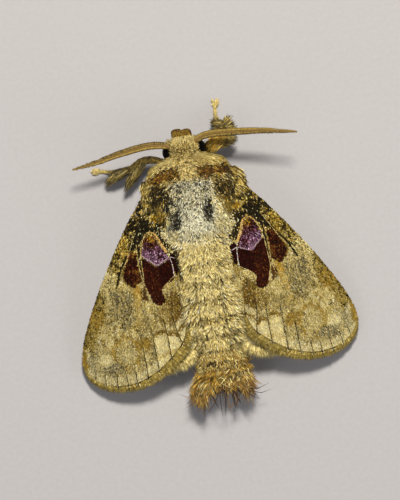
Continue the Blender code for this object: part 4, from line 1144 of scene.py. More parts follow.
def make_body_skin():
    """Skin of head, thorax and abdomen in one surface, under the coat."""
    depth = settings().coat_depth / MM
    stations = 190
    sides = 96
    y, degrees = np.meshgrid(
        np.linspace(-1.2, 22.55, stations), np.arange(sides) * 360 / sides, indexing="ij"
    )
    points, outward = body_frame(BODY_SECTIONS, y, degrees)
    points = points - outward * depth
    flat = points.reshape(-1, 3)
    # Painted shade: the skin under the coat is darker than the mix of its scales.
    colours = mean_colours(body_marks(flat[:, :2])) * 0.75
    row, step = np.meshgrid(np.arange(stations - 1), np.arange(sides), indexing="ij")
    near = (row * sides + step).ravel()
    beside = (row * sides + (step + 1) % sides).ravel()
    faces = np.stack([near, near + sides, beside + sides, beside], axis=1)
    faces = np.concatenate([faces[:, (0, 1, 2)], faces[:, (0, 2, 3)]])
    front = points[0].mean(axis=0) - (0, 0.12, 0)
    back = points[-1].mean(axis=0) + (0, 0.25, 0)
    flat = np.concatenate([flat, [front, back]])
    colours = np.concatenate([colours, colours[[0, -1]]])
    turn = np.arange(sides)
    last = (stations - 1) * sides
    caps = [np.stack([turn, (turn + 1) % sides, np.full(sides, len(flat) - 2)], axis=1)]
    caps.append(np.stack([last + (turn + 1) % sides, last + turn, np.full(sides, len(flat) - 1)], axis=1))
    piece = mesh_piece("body_skin", flat, np.concatenate([faces] + caps), colours)
    face_outwards(piece)
    # Cuticle with a felt of short scales: a rough ground that shows between the hairs without a sheen.
    material = shared_material(skin_material, "Scaled cuticle, felted", 0.8, 0.14)
    finish_piece(piece, material, ("head", "thorax", "abdomen"))


def lie_table(table, y):
    """Values that change along the body, from a table of rows."""
    rows = np.array(table)
    return np.stack([np.interp(y, rows[:, 0], column) for column in rows[:, 1:].T], axis=-1)


def clumped(paths_y, paths_angle, share, every):
    """Draw the ends of neighbouring hairs together into locks, by a share for each."""
    y0, angle0 = paths_y[:, 0], paths_angle[:, 0]
    heads = np.arange(0, len(y0), every)
    nearest = np.zeros(len(y0), int)
    for start in range(0, len(y0), 2000):
        part = slice(start, start + 2000)
        gap = (y0[part, None] - y0[heads]) ** 2 + ((angle0[part, None] - angle0[heads]) / 18) ** 2
        nearest[part] = heads[np.argmin(gap, axis=1)]
    pull = share[:, None] * np.linspace(0, 1, paths_y.shape[1]) ** 1.5
    paths_y = paths_y + pull * (paths_y[nearest] - paths_y)
    paths_angle = paths_angle + pull * (paths_angle[nearest] - paths_angle)
    return paths_y, paths_angle


# Lie of the coat along the body: place, length on top and at the sides, lift, way (-1 is forwards),
# outward sweep, scatter of its direction in degrees, and the pull of its locks.
COAT_LIE = (
    (-1.4, 0.34, 0.4, 0.26, -1.0, 2.0, 16, 0.3), (-0.6, 0.42, 0.42, 0.3, -1.0, 3.0, 24, 0.3),
    (-0.1, 0.4, 0.42, 0.34, -0.7, 6.0, 34, 0.25), (0.35, 0.4, 0.48, 0.34, 0.5, 10.0, 40, 0.25),
    (0.9, 0.46, 0.6, 0.32, 1.0, 9.0, 32, 0.3), (1.8, 0.48, 0.55, 0.32, 1.0, 6.0, 30, 0.3),
    (2.9, 0.36, 0.6, 0.4, 1.0, 4.0, 34, 0.2), (4.5, 0.32, 0.85, 0.46, 1.0, 4.0, 42, 0.15),
    (6.5, 0.34, 0.9, 0.5, 1.0, 5.0, 42, 0.15), (8.2, 0.4, 0.7, 0.46, 1.0, 5.0, 38, 0.2),
    (9.5, 0.46, 0.75, 0.5, 1.0, 5.0, 34, 0.3), (12.0, 0.5, 0.75, 0.6, 1.0, 5.0, 32, 0.45),
    (18.5, 0.54, 0.8, 0.75, 1.0, 4.0, 30, 0.5), (19.2, 0.5, 0.7, 0.6, 1.0, 4.0, 28, 0.4),
    (20.5, 0.44, 0.7, 0.5, 1.0, 3.0, 26, 0.25), (22.6, 0.5, 0.8, 0.42, 1.0, 2.0, 26, 0.3),
)
SEGMENT_LENGTH = 1.75
TAIL_TIER = 1.12


def round_place(degrees):
    """Place across the unwrap for the way round the body."""
    return 0.01 + 0.96 * (degrees % 360) / 360


def body_places(across, y):
    """Places on the body's unwrap."""
    return np.stack([across, 0.01 + 0.96 * (y + 1.4) / 24.1], axis=1)


def upward(like, x=0.0, y=0.0):
    """A direction that points up, or nearly, for every point."""
    return np.broadcast_to(np.array((x, y, 1.0)), like.shape)


def hair_coat(name, first, last, count, seed, nodes):
    """Hair scales over a stretch of the body, laid along its lie in small locks."""
    rng = np.random.default_rng(seed)
    rows = np.linspace(first, last, 161)
    columns = np.linspace(0, 360, 121)
    y, degrees = np.meshgrid((rows[1:] + rows[:-1]) / 2, (columns[1:] + columns[:-1]) / 2, indexing="ij")
    along_step = body_point(BODY_SECTIONS, y + 0.05, degrees) - body_point(BODY_SECTIONS, y - 0.05, degrees)
    round_step = body_point(BODY_SECTIONS, y, degrees + 1.5) - body_point(BODY_SECTIONS, y, degrees - 1.5)
    area = np.linalg.norm(np.cross(along_step, round_step), axis=-1)
    upper = 0.22 + 0.78 * ramp(-0.35, 0.15, np.sin(np.radians(degrees)))
    degrees, y = spread(area * upper, (0, 360), (first, last), count)
    degrees = degrees + rng.normal(0, 0.8, count)
    sine, cosine = np.sin(np.radians(degrees)), np.cos(np.radians(degrees))
    lie = lie_table(COAT_LIE, y)
    top = ramp(0.55, 0.9, sine)
    under = ramp(0.1, -0.3, sine)
    length = lie[:, 0] * top + lie[:, 1] * (1 - top)
    length = length * (1 - 0.45 * under) * rng.uniform(0.7, 1.2, count)
    ring = np.where(y < 19.05, (y - 9.2) / SEGMENT_LENGTH, (y - 18.9) / TAIL_TIER) % 1.0
    lift = lie[:, 2] * rng.uniform(0.55, 1.15, count) * (1 - 0.5 * under) * (
        1 + ramp(8.8, 9.8, y) * (0.5 * ring - 0.2)
    )
    lift = lift * (1 - 0.6 * ramp(0.6, 0.95, np.abs(cosine)) * (1 - ramp(3.6, 5.0, y)))
    arc = np.linalg.norm(
        body_point(BODY_SECTIONS, y, degrees + 1.0) - body_point(BODY_SECTIONS, y, degrees - 1.0), axis=-1
    )
    heading = np.radians(rng.normal(0, 1, count) * lie[:, 5] + 40 * (grain(cosine * 4, y, 0.5, seed) - 0.5))
    sweep = -np.sign(cosine) * np.sign(sine) * lie[:, 4] * ramp(0.0, 0.5, np.abs(cosine))
    sweep = sweep + np.sin(heading) / np.maximum(arc / 2, 0.015)
    steps = np.array((0.0, 0.5, 1.0))
    paths_y = y[:, None] + (lie[:, 3] * length * np.cos(heading))[:, None] * steps
    paths_angle = degrees[:, None] + (sweep * length)[:, None] * steps
    paths_y, paths_angle = clumped(paths_y, paths_angle, lie[:, 6], 9)
    paths_y = np.clip(paths_y, -1.16, 24.5)
    point, outward = body_frame(BODY_SECTIONS, np.clip(paths_y, -1.38, 22.5), paths_angle)
    point[..., 1] = paths_y
    depth = settings().coat_depth / MM
    rise = np.array((-0.1, 0.6, 1.0))
    paths = point + outward * (lift[:, None] * rise - depth * np.array((1.15, 0.7, 0.4)))[..., None]
    over_wing = (paths[..., 1] > 4.2) & (paths[..., 1] < 19.5) & (sine[:, None] > 0.25)
    over_wing &= np.abs(paths[..., 0]) > half_width(paths[..., 1], WING_ROOT_LEVEL)
    cover = wing_top(paths[..., 0]) + 0.06 + 0.1 * steps
    paths[..., 2] = np.where(over_wing, np.maximum(paths[..., 2], cover), paths[..., 2])
    fine = 1 - 0.28 * (1 - ramp(0.8, 1.4, y))
    widths = settings().hair_width / MM * rng.uniform(0.75, 1.4, count) * fine
    rear = ramp(9.0, 9.8, y)
    rough = ramp(2.0, 3.0, np.abs(paths[:, 1, 0])) * (1 - rear)
    uneven = (0.2 + 0.08 * rear + 0.18 * rough)[:, None]
    own = (0.52 + 0.13 * rear + 0.38 * rough)[:, None]
    colours = drawn_colours(body_marks(paths[:, 1, :2]), rng, uneven, own)
    # Painted shade: hairs on the body's underside are made darker.
    colours = colours * (1 - 0.35 * under)[:, None]
    places = body_places(round_place(degrees), y)
    kept = ~over_wing.any(axis=1) | (y < 8.8) | (rng.random(count) < 0.12)
    tips = paths[:, -1]
    ragged = rng.uniform(0.75, 1.15, count)
    over_eye = np.hypot(
        (np.abs(tips[:, 0]) - EYE_CENTRE[0] - 0.46) / 0.44, (tips[:, 1] - EYE_CENTRE[1]) / 0.6
    ) < ragged
    kept &= ~over_eye | (tips[:, 2] < 3.4)
    kept &= (tips[:, 0] < 2.2) | (y < 16.6) | (y > 19.4) | (sine < 0)
    piece = hair_piece(name, paths[kept], outward[kept], widths[kept], colours[kept], places[kept])
    finish_piece(piece, face_material() if name == "head_coat" else hair_material(), nodes)


def hair_material():
    """The material that the body's hair scales share."""
    # Hair scales of the coat: flat, ribbed chitin that scatters light softly and glints where it turns, with
    # painted shade at the roots and a painted highlight at the tips.
    return shared_material(
        scale_material, "Hair scales, combed", 0.6, 0.12, root_shade=0.32, tip_light=1.28
    )


def face_material():
    """The material of the head's hair scales."""
    # Head hairs: thin and close, with only light painted shade at their roots and a small painted highlight
    # at their tips, so the face looks smooth and combed.
    return shared_material(
        scale_material, "Head hair scales, fine", 0.65, 0.1, root_shade=0.55, tip_light=1.18
    )


def make_body_coat():
    """Coat of head and thorax."""
    hair_coat("head_coat", -1.2, 1.0, settings().head_hairs, settings().seed, ("head",))
    hair_coat(
        "thorax_coat", 0.7, 9.4, settings().thorax_hairs, settings().seed + 1, ("thorax",)
    )


def make_abdomen_coat():
    """Coat of the abdomen."""
    hair_coat(
        "abdomen_coat", 8.9, 22.5, settings().abdomen_hairs, settings().seed + 2, ("abdomen",)
    )


def make_flank_coat():
    """Soft hair scales that close the valley between the abdomen and the wings' inner edges."""
    rng = np.random.default_rng(settings().seed + 5)
    count = 8200
    side = np.where(rng.random(count) < 0.5, 1.0, -1.0)
    y = rng.uniform(8.6, 19.6, count)
    width = np.interp(y, *np.array(BODY_SECTIONS)[:, :2].T)
    share = rng.uniform(0.5, 0.97, count)
    level = body_top(share * width, y)
    below = ramp(17.0, 18.4, y)
    bank = wing_top(share * width) + rng.uniform(-0.35, 0.1, count)
    level = np.maximum(level, bank * (1 - below) + level * below) - 0.1
    steps = np.array((0.0, 0.36, 0.7, 1.0))
    out = rng.uniform(0.0, 0.42, count) * (1 - 0.4 * below) + 0.45 * rng.random(count) ** 3
    back = rng.uniform(0.3, 0.75, count)
    reach = (share * width)[:, None] + out[:, None] * np.array((0.0, 0.35, 0.7, 1.0))
    paths = np.empty((count, 4, 3))
    paths[..., 1] = y[:, None] + back[:, None] * steps
    right_limit = np.interp(y, (8.6, 9.4, 10.4, 12.4, 14.0, 15.5), (3.0, 2.55, 2.45, 2.5, 2.9, 9.0))
    left_limit = np.interp(
        y, (8.6, 9.4, 10.4, 12.4, 14.0, 15.5, 16.8, 17.8), (3.0, 2.55, 2.35, 2.3, 2.9, 5.0, 2.4, 2.1)
    )
    limit = np.where(side > 0, left_limit, right_limit) + rng.normal(0, 0.08, count)
    kept = share * width < limit
    reach = np.minimum(reach, limit[:, None] + 0.04 * steps)
    rise = level[:, None] + rng.uniform(0.1, 0.4, count)[:, None] * np.sin(np.pi * 0.65 * steps)
    bed = wing_top(reach) + 0.08 + 0.12 * steps
    close = ramp(2.1, 2.4, reach) * (1 - below)[:, None]
    paths[..., 2] = rise * (1 - close) + np.maximum(bed, rise) * close
    paths[..., 0] = reach * side[:, None] + rng.normal(0, 0.1, (count, 1)) * steps
    outward = np.zeros(paths.shape)
    outward[..., 2] = 1.0
    outward[..., 0] = 0.3 * side[:, None]
    colours = drawn_colours(body_marks(paths[:, 1, :2]), rng, 0.24)
    widths = settings().hair_width / MM * rng.uniform(0.75, 1.3, count)
    places = body_places(0.25 - 0.12 * side, y)
    piece = hair_piece("flank_coat", paths[kept], outward[kept], widths[kept], colours[kept], places[kept])
    finish_piece(piece, hair_material(), ("abdomen",))


def make_brow_tufts():
    """Tufts that stand at the feet of the feelers and over the face."""
    rng = np.random.default_rng(settings().seed + 3)
    count = 1300
    side = np.where(rng.random(count) < 0.5, 1.0, -1.0)
    roots = np.stack(
        [side * rng.uniform(0.75, 1.35, count), rng.uniform(-0.8, -0.35, count), 5.0 + 0 * side], axis=1
    )
    roots[:, 2] -= 0.22 * (np.abs(roots[:, 0]) - 0.5)
    heading = np.stack(
        [
            side * rng.uniform(0.1, 0.8, count), rng.uniform(-1.0, -0.4, count),
            rng.uniform(-0.1, 0.5, count),
        ], axis=1
    )
    front = rng.random(count) < 0.5
    number = front.sum()
    roots[front] = np.stack(
        [
            rng.uniform(-0.88, 0.88, number), rng.uniform(-0.84, -0.5, number),
            rng.uniform(4.6, 5.15, number),
        ], axis=1
    )
    heading[front] = np.stack(
        [
            0.35 * roots[front, 0] + rng.normal(0, 0.2, number), np.full(number, -0.8),
            rng.uniform(-0.4, 0.4, number),
        ], axis=1
    )
    heading = unit(heading)
    length = rng.uniform(0.28, 0.55, count) * np.where(front, 0.7, 1.15)
    steps = np.array((0.0, 0.5, 1.0))
    paths = roots[:, None] + heading[:, None] * (length[:, None] * steps)[..., None]
    paths[..., 2] -= 0.18 * steps**2 * length[:, None]
    outward = upward(paths, 0.0, -0.35)
    colours = drawn_colours(body_marks(paths[:, 0, :2]), rng)
    places = np.stack([0.2 + 0.2 * (roots[:, 0] + 1.5) / 3, 0.01 + 0.06 * (roots[:, 1] + 1.4)], axis=1)
    piece = hair_piece("brow_tufts", paths, outward, np.full(count, 0.034), colours, places)
    finish_piece(piece, face_material(), ("head",))


def make_shoulder_tufts():
    """Long hair scales that sweep from the shoulders back over the wing bases."""
    rng = np.random.default_rng(settings().seed + 6)
    count = 2600
    right = rng.random(count) < 0.62
    side = np.where(right, -1.0, 1.0)
    place = rng.random(count)
    roots = np.stack([3.5 + 1.1 * place, 2.4 + 1.8 * rng.random(count), np.zeros(count)], axis=1)
    tips = np.stack(
        [
            4.1 + np.where(right, 1.35, 0.75) * place, roots[:, 1] + rng.uniform(0.7, 1.6, count),
            roots[:, 2],
        ],
        axis=1,
    )
    tips[:, :2] += rng.normal(0, 0.1, (count, 2))
    steps = np.array((0.0, 0.35, 0.7, 1.0))
    paths = roots[:, None] + (tips - roots)[:, None] * steps[None, :, None]
    bed = wing_top(paths[..., 0]) + 0.1 + 0.3 * rng.random((count, 1))
    start = wing_top(roots[:, 0]) + 0.15 * rng.random(count)
    paths[..., 2] = start[:, None] * (1 - steps) + bed * steps + 0.15 * np.sin(np.pi * steps)
    marks = body_marks(paths[:, 1, :2])
    paint(marks, np.full(count, 0.7), straw=0.2, ochre=0.26, umber=0.2, soot=0.24, cream=0.1)
    colours = drawn_colours(marks, rng, 0.3, 0.85)
    paths[..., 0] *= side[:, None]
    outward = upward(paths)
    places = body_places(0.25 - 0.16 * side, roots[:, 1])
    piece = hair_piece(
        "shoulder_tufts", paths, outward, 0.042 * rng.uniform(0.8, 1.4, count), colours, places
    )
    finish_piece(piece, hair_material(), ("thorax",))


def make_flap_edges():
    """Ragged pale scales at the hind edges of the shoulder flaps, over the black wing bases."""
    rng = np.random.default_rng(settings().seed + 9)
    count = 1300
    hem = even_curve(FLAP_HEM, 60)
    place = rng.random(count)
    ahead = unit(way_along(hem, place, 0.02))
    away = np.stack([ahead[:, 1], -ahead[:, 0]], axis=1)
    roots = on_curve(hem, place) - away * rng.uniform(-0.05, 0.7, (count, 1))
    turn = 1.8 * (grain(place * 12, 0 * place, 0.8, 82) - 0.3) + rng.normal(0, 0.25, count)
    length = (
        0.26 + 0.45 * grain(place * 16, 0 * place, 0.8, 83)
    ) * rng.uniform(0.7, 1.2, count) * (1 - 0.5 * place)
    heading = away * np.cos(turn)[:, None] + ahead * np.sin(turn)[:, None]
    steps = np.array((0.0, 0.5, 1.0))
    plan = roots[:, None] + heading[:, None] * (length[:, None] * steps)[..., None]
    level = np.maximum(body_top(plan[..., 0], plan[..., 1]), wing_top(plan[..., 0])) + 0.04
    level = level + np.array((-0.05, 0.14, 0.08)) * rng.uniform(0.5, 1.5, (count, 1))
    colours = drawn_colours(
        blank(roots, cream=0.42, white=0.2, straw=0.12, umber=0.08, soot=0.18), rng, 0.3
    )
    sign = np.where(rng.random(count) < 0.5, 1.0, -1.0)
    paths = np.concatenate([plan, level[..., None]], axis=-1)
    paths[..., 0] *= sign[:, None]
    outward = upward(paths)
    places = body_places(0.25 - 0.12 * sign, roots[:, 1])
    piece = hair_piece("flap_edges", paths, outward, 0.044 * rng.uniform(0.8, 1.3, count), colours, places)
    finish_piece(piece, hair_material(), ("thorax",))


# Locks of the tail's end: way round it, place of the root, length, spread of the tips, and brownness.
TAIL_LOCKS = (
    (28, 22.2, 2.9, 0.3, 0.9), (42, 22.4, 3.1, 0.3, 0.8), (14, 22.2, 2.3, 0.3, 0.5),
    (56, 22.6, 2.2, 0.25, 0.7), (2, 21.9, 1.9, 0.3, 0.3), (150, 22.2, 2.6, 0.4, 1.0),
    (166, 22.0, 2.4, 0.4, 0.5), (135, 22.4, 2.7, 0.4, 0.9), (75, 22.6, 1.5, 0.25, 0.5),
    (100, 22.6, 1.4, 0.25, 0.5), (120, 22.5, 1.6, 0.25, 0.6), (200, 22.0, 2.2, 0.35, 0.4),
    (235, 22.2, 1.9, 0.35, 0.5), (270, 22.2, 1.8, 0.35, 0.5), (305, 22.2, 2.0, 0.35, 0.5),
    (340, 22.0, 2.4, 0.35, 0.5),
)


def tail_place(y, degrees, share):
    """Points at a share of the way from the tail's middle to its outside, and the way out."""
    point, outward = body_frame(TAIL_SECTIONS, np.clip(y, 18.6, 26.9), degrees)
    middle = np.array((0.0, 0.0, 2.7))
    for axis in (0, 2):
        point[..., axis] = middle[axis] + (point[..., axis] - middle[axis]) * share
    point[..., 0] += 0.5 * ramp(20.8, 23.5, y) - 0.2 * ramp(18.0, 20.0, y)
    point[..., 1] = y
    return point, outward


def make_tail():
    """Tail tuft: flaring golden hair scales in tiers, brown locks at its end and long curved dark hairs."""
    rng = np.random.default_rng(settings().seed + 4)
    count = settings().tail_hairs
    share = np.sqrt(rng.uniform(0.06, 1.0, count))
    shell = share > 0.72
    y = np.where(shell, rng.uniform(19.0, 23.2, count), rng.uniform(21.2, 23.0, count))
    y = y + 0.22 * np.sin(y * 2 * np.pi / 0.85)
    degrees = 360 * ((np.arange(count) * GOLDEN_STEP + rng.uniform(0, 0.02, count)) % 1.0)
    length = np.where(shell, 0.5 + 0.3 * ramp(21.8, 23.0, y), 0.95) * rng.uniform(0.6, 1.25, count)
    steps = np.array((0.0, 0.28, 0.62, 1.0))
    paths_y = y[:, None] + length[:, None] * steps
    sway = rng.normal(0, 8, count) + 34 * (grain(np.cos(np.radians(degrees)) * 4, y, 0.7, 8) - 0.5)
    paths_angle = degrees[:, None] + sway[:, None] * steps
    paths_y, paths_angle = clumped(paths_y, paths_angle, np.full(count, 0.3), 8)
    shares = share[:, None] * (
        0.86 + 0.17 * steps + 0.1 * np.sin(np.pi * steps) * rng.uniform(0, 1, (count, 1))
    )
    paths, outward = tail_place(paths_y, paths_angle, shares)
    flare = rng.uniform(-0.05, 0.34, count) * ramp(0.6, 0.95, share) * ramp(19.5, 21.5, y)
    paths = paths + outward * (flare[:, None] * steps**1.5)[..., None]
    paths[..., 2] = np.clip(paths[..., 2], 0.7, 5.0)
    layers = blank(paths[:, 0], gold=0.32, straw=0.22, cream=0.14, ochre=0.12, rust=0.05, umber=0.15)
    paint(layers, 0.7 * (1 - ramp(18.8, 19.6, y)), cream=0.56, straw=0.24, umber=0.12, soot=0.08)
    clouds = grain(paths[:, 2, 0], y, 0.45, 9)
    paint(layers, 0.75 * ramp(0.52, 0.62, clouds), cream=0.52, straw=0.32, gold=0.16)
    paint(layers, 0.75 * (1 - ramp(0.36, 0.46, clouds)), gold=0.42, rust=0.1, ochre=0.2, umber=0.28)
    paint(
        layers,
        0.6 * ramp(21.9, 22.7, y) * ramp(0.42, 0.58, grain(paths[:, 2, 0], paths[:, 2, 2], 0.6, 86)),
        cream=0.62, straw=0.38,
    )
    # Dark rows across the tuft's tiers: dark hair tips and painted shade between the tiers.
    middle = 1 - ramp(1.0, 1.7, np.abs(paths[:, 1, 0]))
    for place, reach in ((20.0, 0.2), (21.14, 0.26), (23.5, 0.36)):
        line = (1 - ramp(0.5 * reach, reach, np.abs(y + 0.3 * length - place))) * (0.45 + 0.55 * middle)
        paint(layers, 0.95 * line, soot=0.78, umber=0.22)
    # Inner hairs browner and darker: the tuft's own rusty colour and painted shade in its depth.
    brown = np.clip(1.2 - share, 0, 1) * 0.5
    paint(layers, brown, rust=0.4, gold=0.3, umber=0.3)
    colours = drawn_colours(layers, rng, 0.32)
    widths = 0.04 * rng.uniform(0.75, 1.35, count)
    places = np.stack([round_place(degrees), 0.8 + 0.17 * (y - 18.6) / 5.0], axis=1)
    piece = hair_piece("tail_tuft", paths, outward, widths, colours, places)
    # Tail hairs: smoother chitin than the coat with a stronger gloss, painted shade at their roots and a
    # painted highlight at their tips.
    material = shared_material(
        scale_material, "Tail hair scales, combed", 0.55, 0.25, root_shade=0.25, tip_light=1.3
    )
    finish_piece(piece, material, ("abdomen",))

    steps = np.array((0.0, 0.25, 0.5, 0.75, 1.0))
    all_paths, all_outward, all_colours, all_widths = [], [], [], []
    brown_tone, dark_tone = np.array(linear("#6E4216")), np.array(linear("#2E1C0E"))
    for angle, root, length, scatter, tone in TAIL_LOCKS:
        count = 70
        start_angle = angle + rng.normal(0, 9, count)
        paths_y = root + rng.normal(0, 0.25, (count, 1)) + length * rng.uniform(
            0.55, 1.0, (count, 1)
        ) * steps
        paths_angle = start_angle[:, None] + (
            angle + rng.normal(0, 3, count) - start_angle
        )[:, None] * steps
        share = np.interp(steps, (0, 0.4, 1), (0.7, 0.92, 1.02)) * rng.uniform(0.9, 1.03, (count, 1))
        paths, outward = tail_place(paths_y, paths_angle, share)
        paths = paths + rng.normal(0, scatter, (count, 1, 3)) * (1.0, 0.5, 0.6) * steps[:, None] ** 2
        layers = blank(paths[:, 0], gold=0.36, straw=0.34, cream=0.08, umber=0.12, rust=0.1)
        shade = drawn_colours(layers, rng, 0.2)
        mix = tone * rng.uniform(0.35, 1.0, (count, 1))
        shade = shade * (1 - mix) + (
            brown_tone + (dark_tone - brown_tone) * (rng.random((count, 1)) < 0.35)
        ) * mix
        all_paths.append(paths)
        all_outward.append(outward)
        all_colours.append(shade)
        all_widths.append(0.04 * rng.uniform(0.7, 1.3, count))
    count = 46
    angle = rng.uniform(15, 175, count)
    length = rng.uniform(2.2, 4.2, count)
    paths_y = rng.uniform(22.0, 22.6, count)[:, None] + length[:, None] * steps
    share = np.interp(steps, (0, 0.4, 1), (0.7, 0.95, 1.05)) * rng.uniform(0.55, 1.05, (count, 1))
    paths, outward = tail_place(paths_y, np.repeat(angle[:, None], 5, axis=1), share)
    bend = rng.normal(0, 1.7, count)
    paths[..., 0] += bend[:, None] * np.clip(steps - 0.35, 0, 1) ** 1.5 * 1.6
    paths[..., 1] -= (0.5 * bend**2)[:, None] * np.clip(steps - 0.35, 0, 1) ** 2
    paths[..., 1] = np.minimum(paths[..., 1], 26.7)
    all_paths.append(paths)
    all_outward.append(outward)
    stray = np.where(rng.random((count, 1)) < 0.4, np.array(linear("#8A6428")), np.array(linear("#3A2816")))
    all_colours.append(stray * rng.uniform(0.6, 1.2, (count, 1)))
    all_widths.append(0.052 * rng.uniform(0.7, 1.25, count))
    paths = np.concatenate(all_paths)
    paths[..., 2] = np.clip(paths[..., 2], 0.4, 4.9)
    count = len(paths)
    places = np.stack([0.01 + 0.96 * rng.random(count), np.full(count, 0.985)], axis=1)
    piece = hair_piece(
        "tail_locks", paths, np.concatenate(
            all_outward
        ), np.concatenate(all_widths), np.concatenate(all_colours), places
    )
    finish_piece(piece, material, ("abdomen",))


def placed(out, back, side):
    """Plan points of a forewing from their distance out from its hinge and to its rear."""
    hinge, sweep = FOREWING_PLACING[side]
    turn = math.radians(sweep)
    x = hinge[0] + out * math.sin(turn) - back * math.cos(turn)
    y = hinge[1] + out * math.cos(turn) + back * math.sin(turn)
    return np.stack([x, y], axis=-1)


def wing_edges(kind, side):
    """Root, front, outer and inner edge of a left-hand wing in plan."""
    if kind == "forewing":
        ends, drop = FOREWING_ROOT_Y, 0.0
        costa, termen, inner = (
            placed(*np.array(edge).T, side) for edge in (FOREWING_COSTA, FOREWING_TERMEN, FOREWING_INNER)
        )
    else:
        ends, drop = HINDWING_ROOT_Y, HINDWING_DROP
        costa, termen, inner = (
            np.array(edge) for edge in (HINDWING_COSTA, HINDWING_TERMEN, HINDWING_INNER)
        )
    y = np.linspace(ends[0], ends[1], 7)
    root = np.stack([half_width(y, WING_ROOT_LEVEL - drop) + 0.02, y], axis=1)
    costa = np.concatenate([root[:1], costa])
    inner = np.concatenate([root[-1:], inner])
    return [even_curve(row, 41) for row in (root, costa, termen, inner)]


def wing_plan(edges, across, along):
    """Plan points of the patch between a wing's four edges."""
    root, costa, termen, inner = edges
    across_one, along_one = across[..., None], along[..., None]
    return (
        on_curve(root, across) * (1 - along_one)
        + on_curve(termen, across) * along_one
        + on_curve(costa, along) * (1 - across_one)
        + on_curve(inner, along) * across_one
        - root[0] * ((1 - along_one) * (1 - across_one))
        - root[-1] * ((1 - along_one) * across_one)
        - termen[0] * (along_one * (1 - across_one))
        - termen[-1] * (along_one * across_one)
    )


def on_side(pairs, side):
    """Plan points of the right forewing, moved with the wing to where they lie on a side."""
    pairs = np.asarray(pairs, float)
    hinge, sweep = FOREWING_PLACING["right"]
    turn = math.radians(sweep)
    x, y = pairs[..., 0] - hinge[0], pairs[..., 1] - hinge[1]
    out, back = x * math.sin(turn) + y * math.cos(turn), y * math.sin(turn) - x * math.cos(turn)
    return placed(out, back, side)


def vein_lines(kind, side, edges):
    """Plan lines of a wing's veins."""
    if kind == "forewing":
        return [on_side(even_curve(line, 30), side) for line, _ in FOREWING_VEINS]
    lines = []
    for root, tip, start, end in HINDWING_VEINS:
        along = np.linspace(start, end, 26)
        lines.append(wing_plan(edges, root + (tip - root) * along, along))
    place, first, last = HINDWING_CROSS_VEIN
    across = np.linspace(first, last, 8)
    lines.append(wing_plan(edges, across, np.full(8, place)))
    return lines


def wing_heights(kind, plan, lines):
    """Height of a wing's upper face, with ridged veins and soft pleats between them."""
    flat = plan.reshape(-1, 2)
    nearest = np.full(len(flat), 1e9)
    for line in lines:
        nearest = np.minimum(nearest, line_distance(flat, line))
    ridge = 0.1 * np.exp(-((nearest / 0.12) ** 2))
    pleat = 0.06 * (grain(flat[:, 0], flat[:, 1], 2.2, 91) - 0.5) - 0.04 * ramp(0.15, 0.7, nearest)
    drop = 0.0 if kind == "forewing" else HINDWING_DROP
    return (wing_top(flat[:, 0]) - drop + ridge + pleat).reshape(plan.shape[:-1])


def wing_marks(kind, edges, across, along):
    """Scale shares over a wing. Both forewings take their marks from the right one's plan."""
    plan = wing_plan(edges, across, along).reshape(-1, 2)
    edge = line_distance(plan, edges[2])
    if kind == "forewing":
        return forewing_marks(plan, edge, line_distance(plan, edges[1]))
    return hindwing_marks(plan, edge)


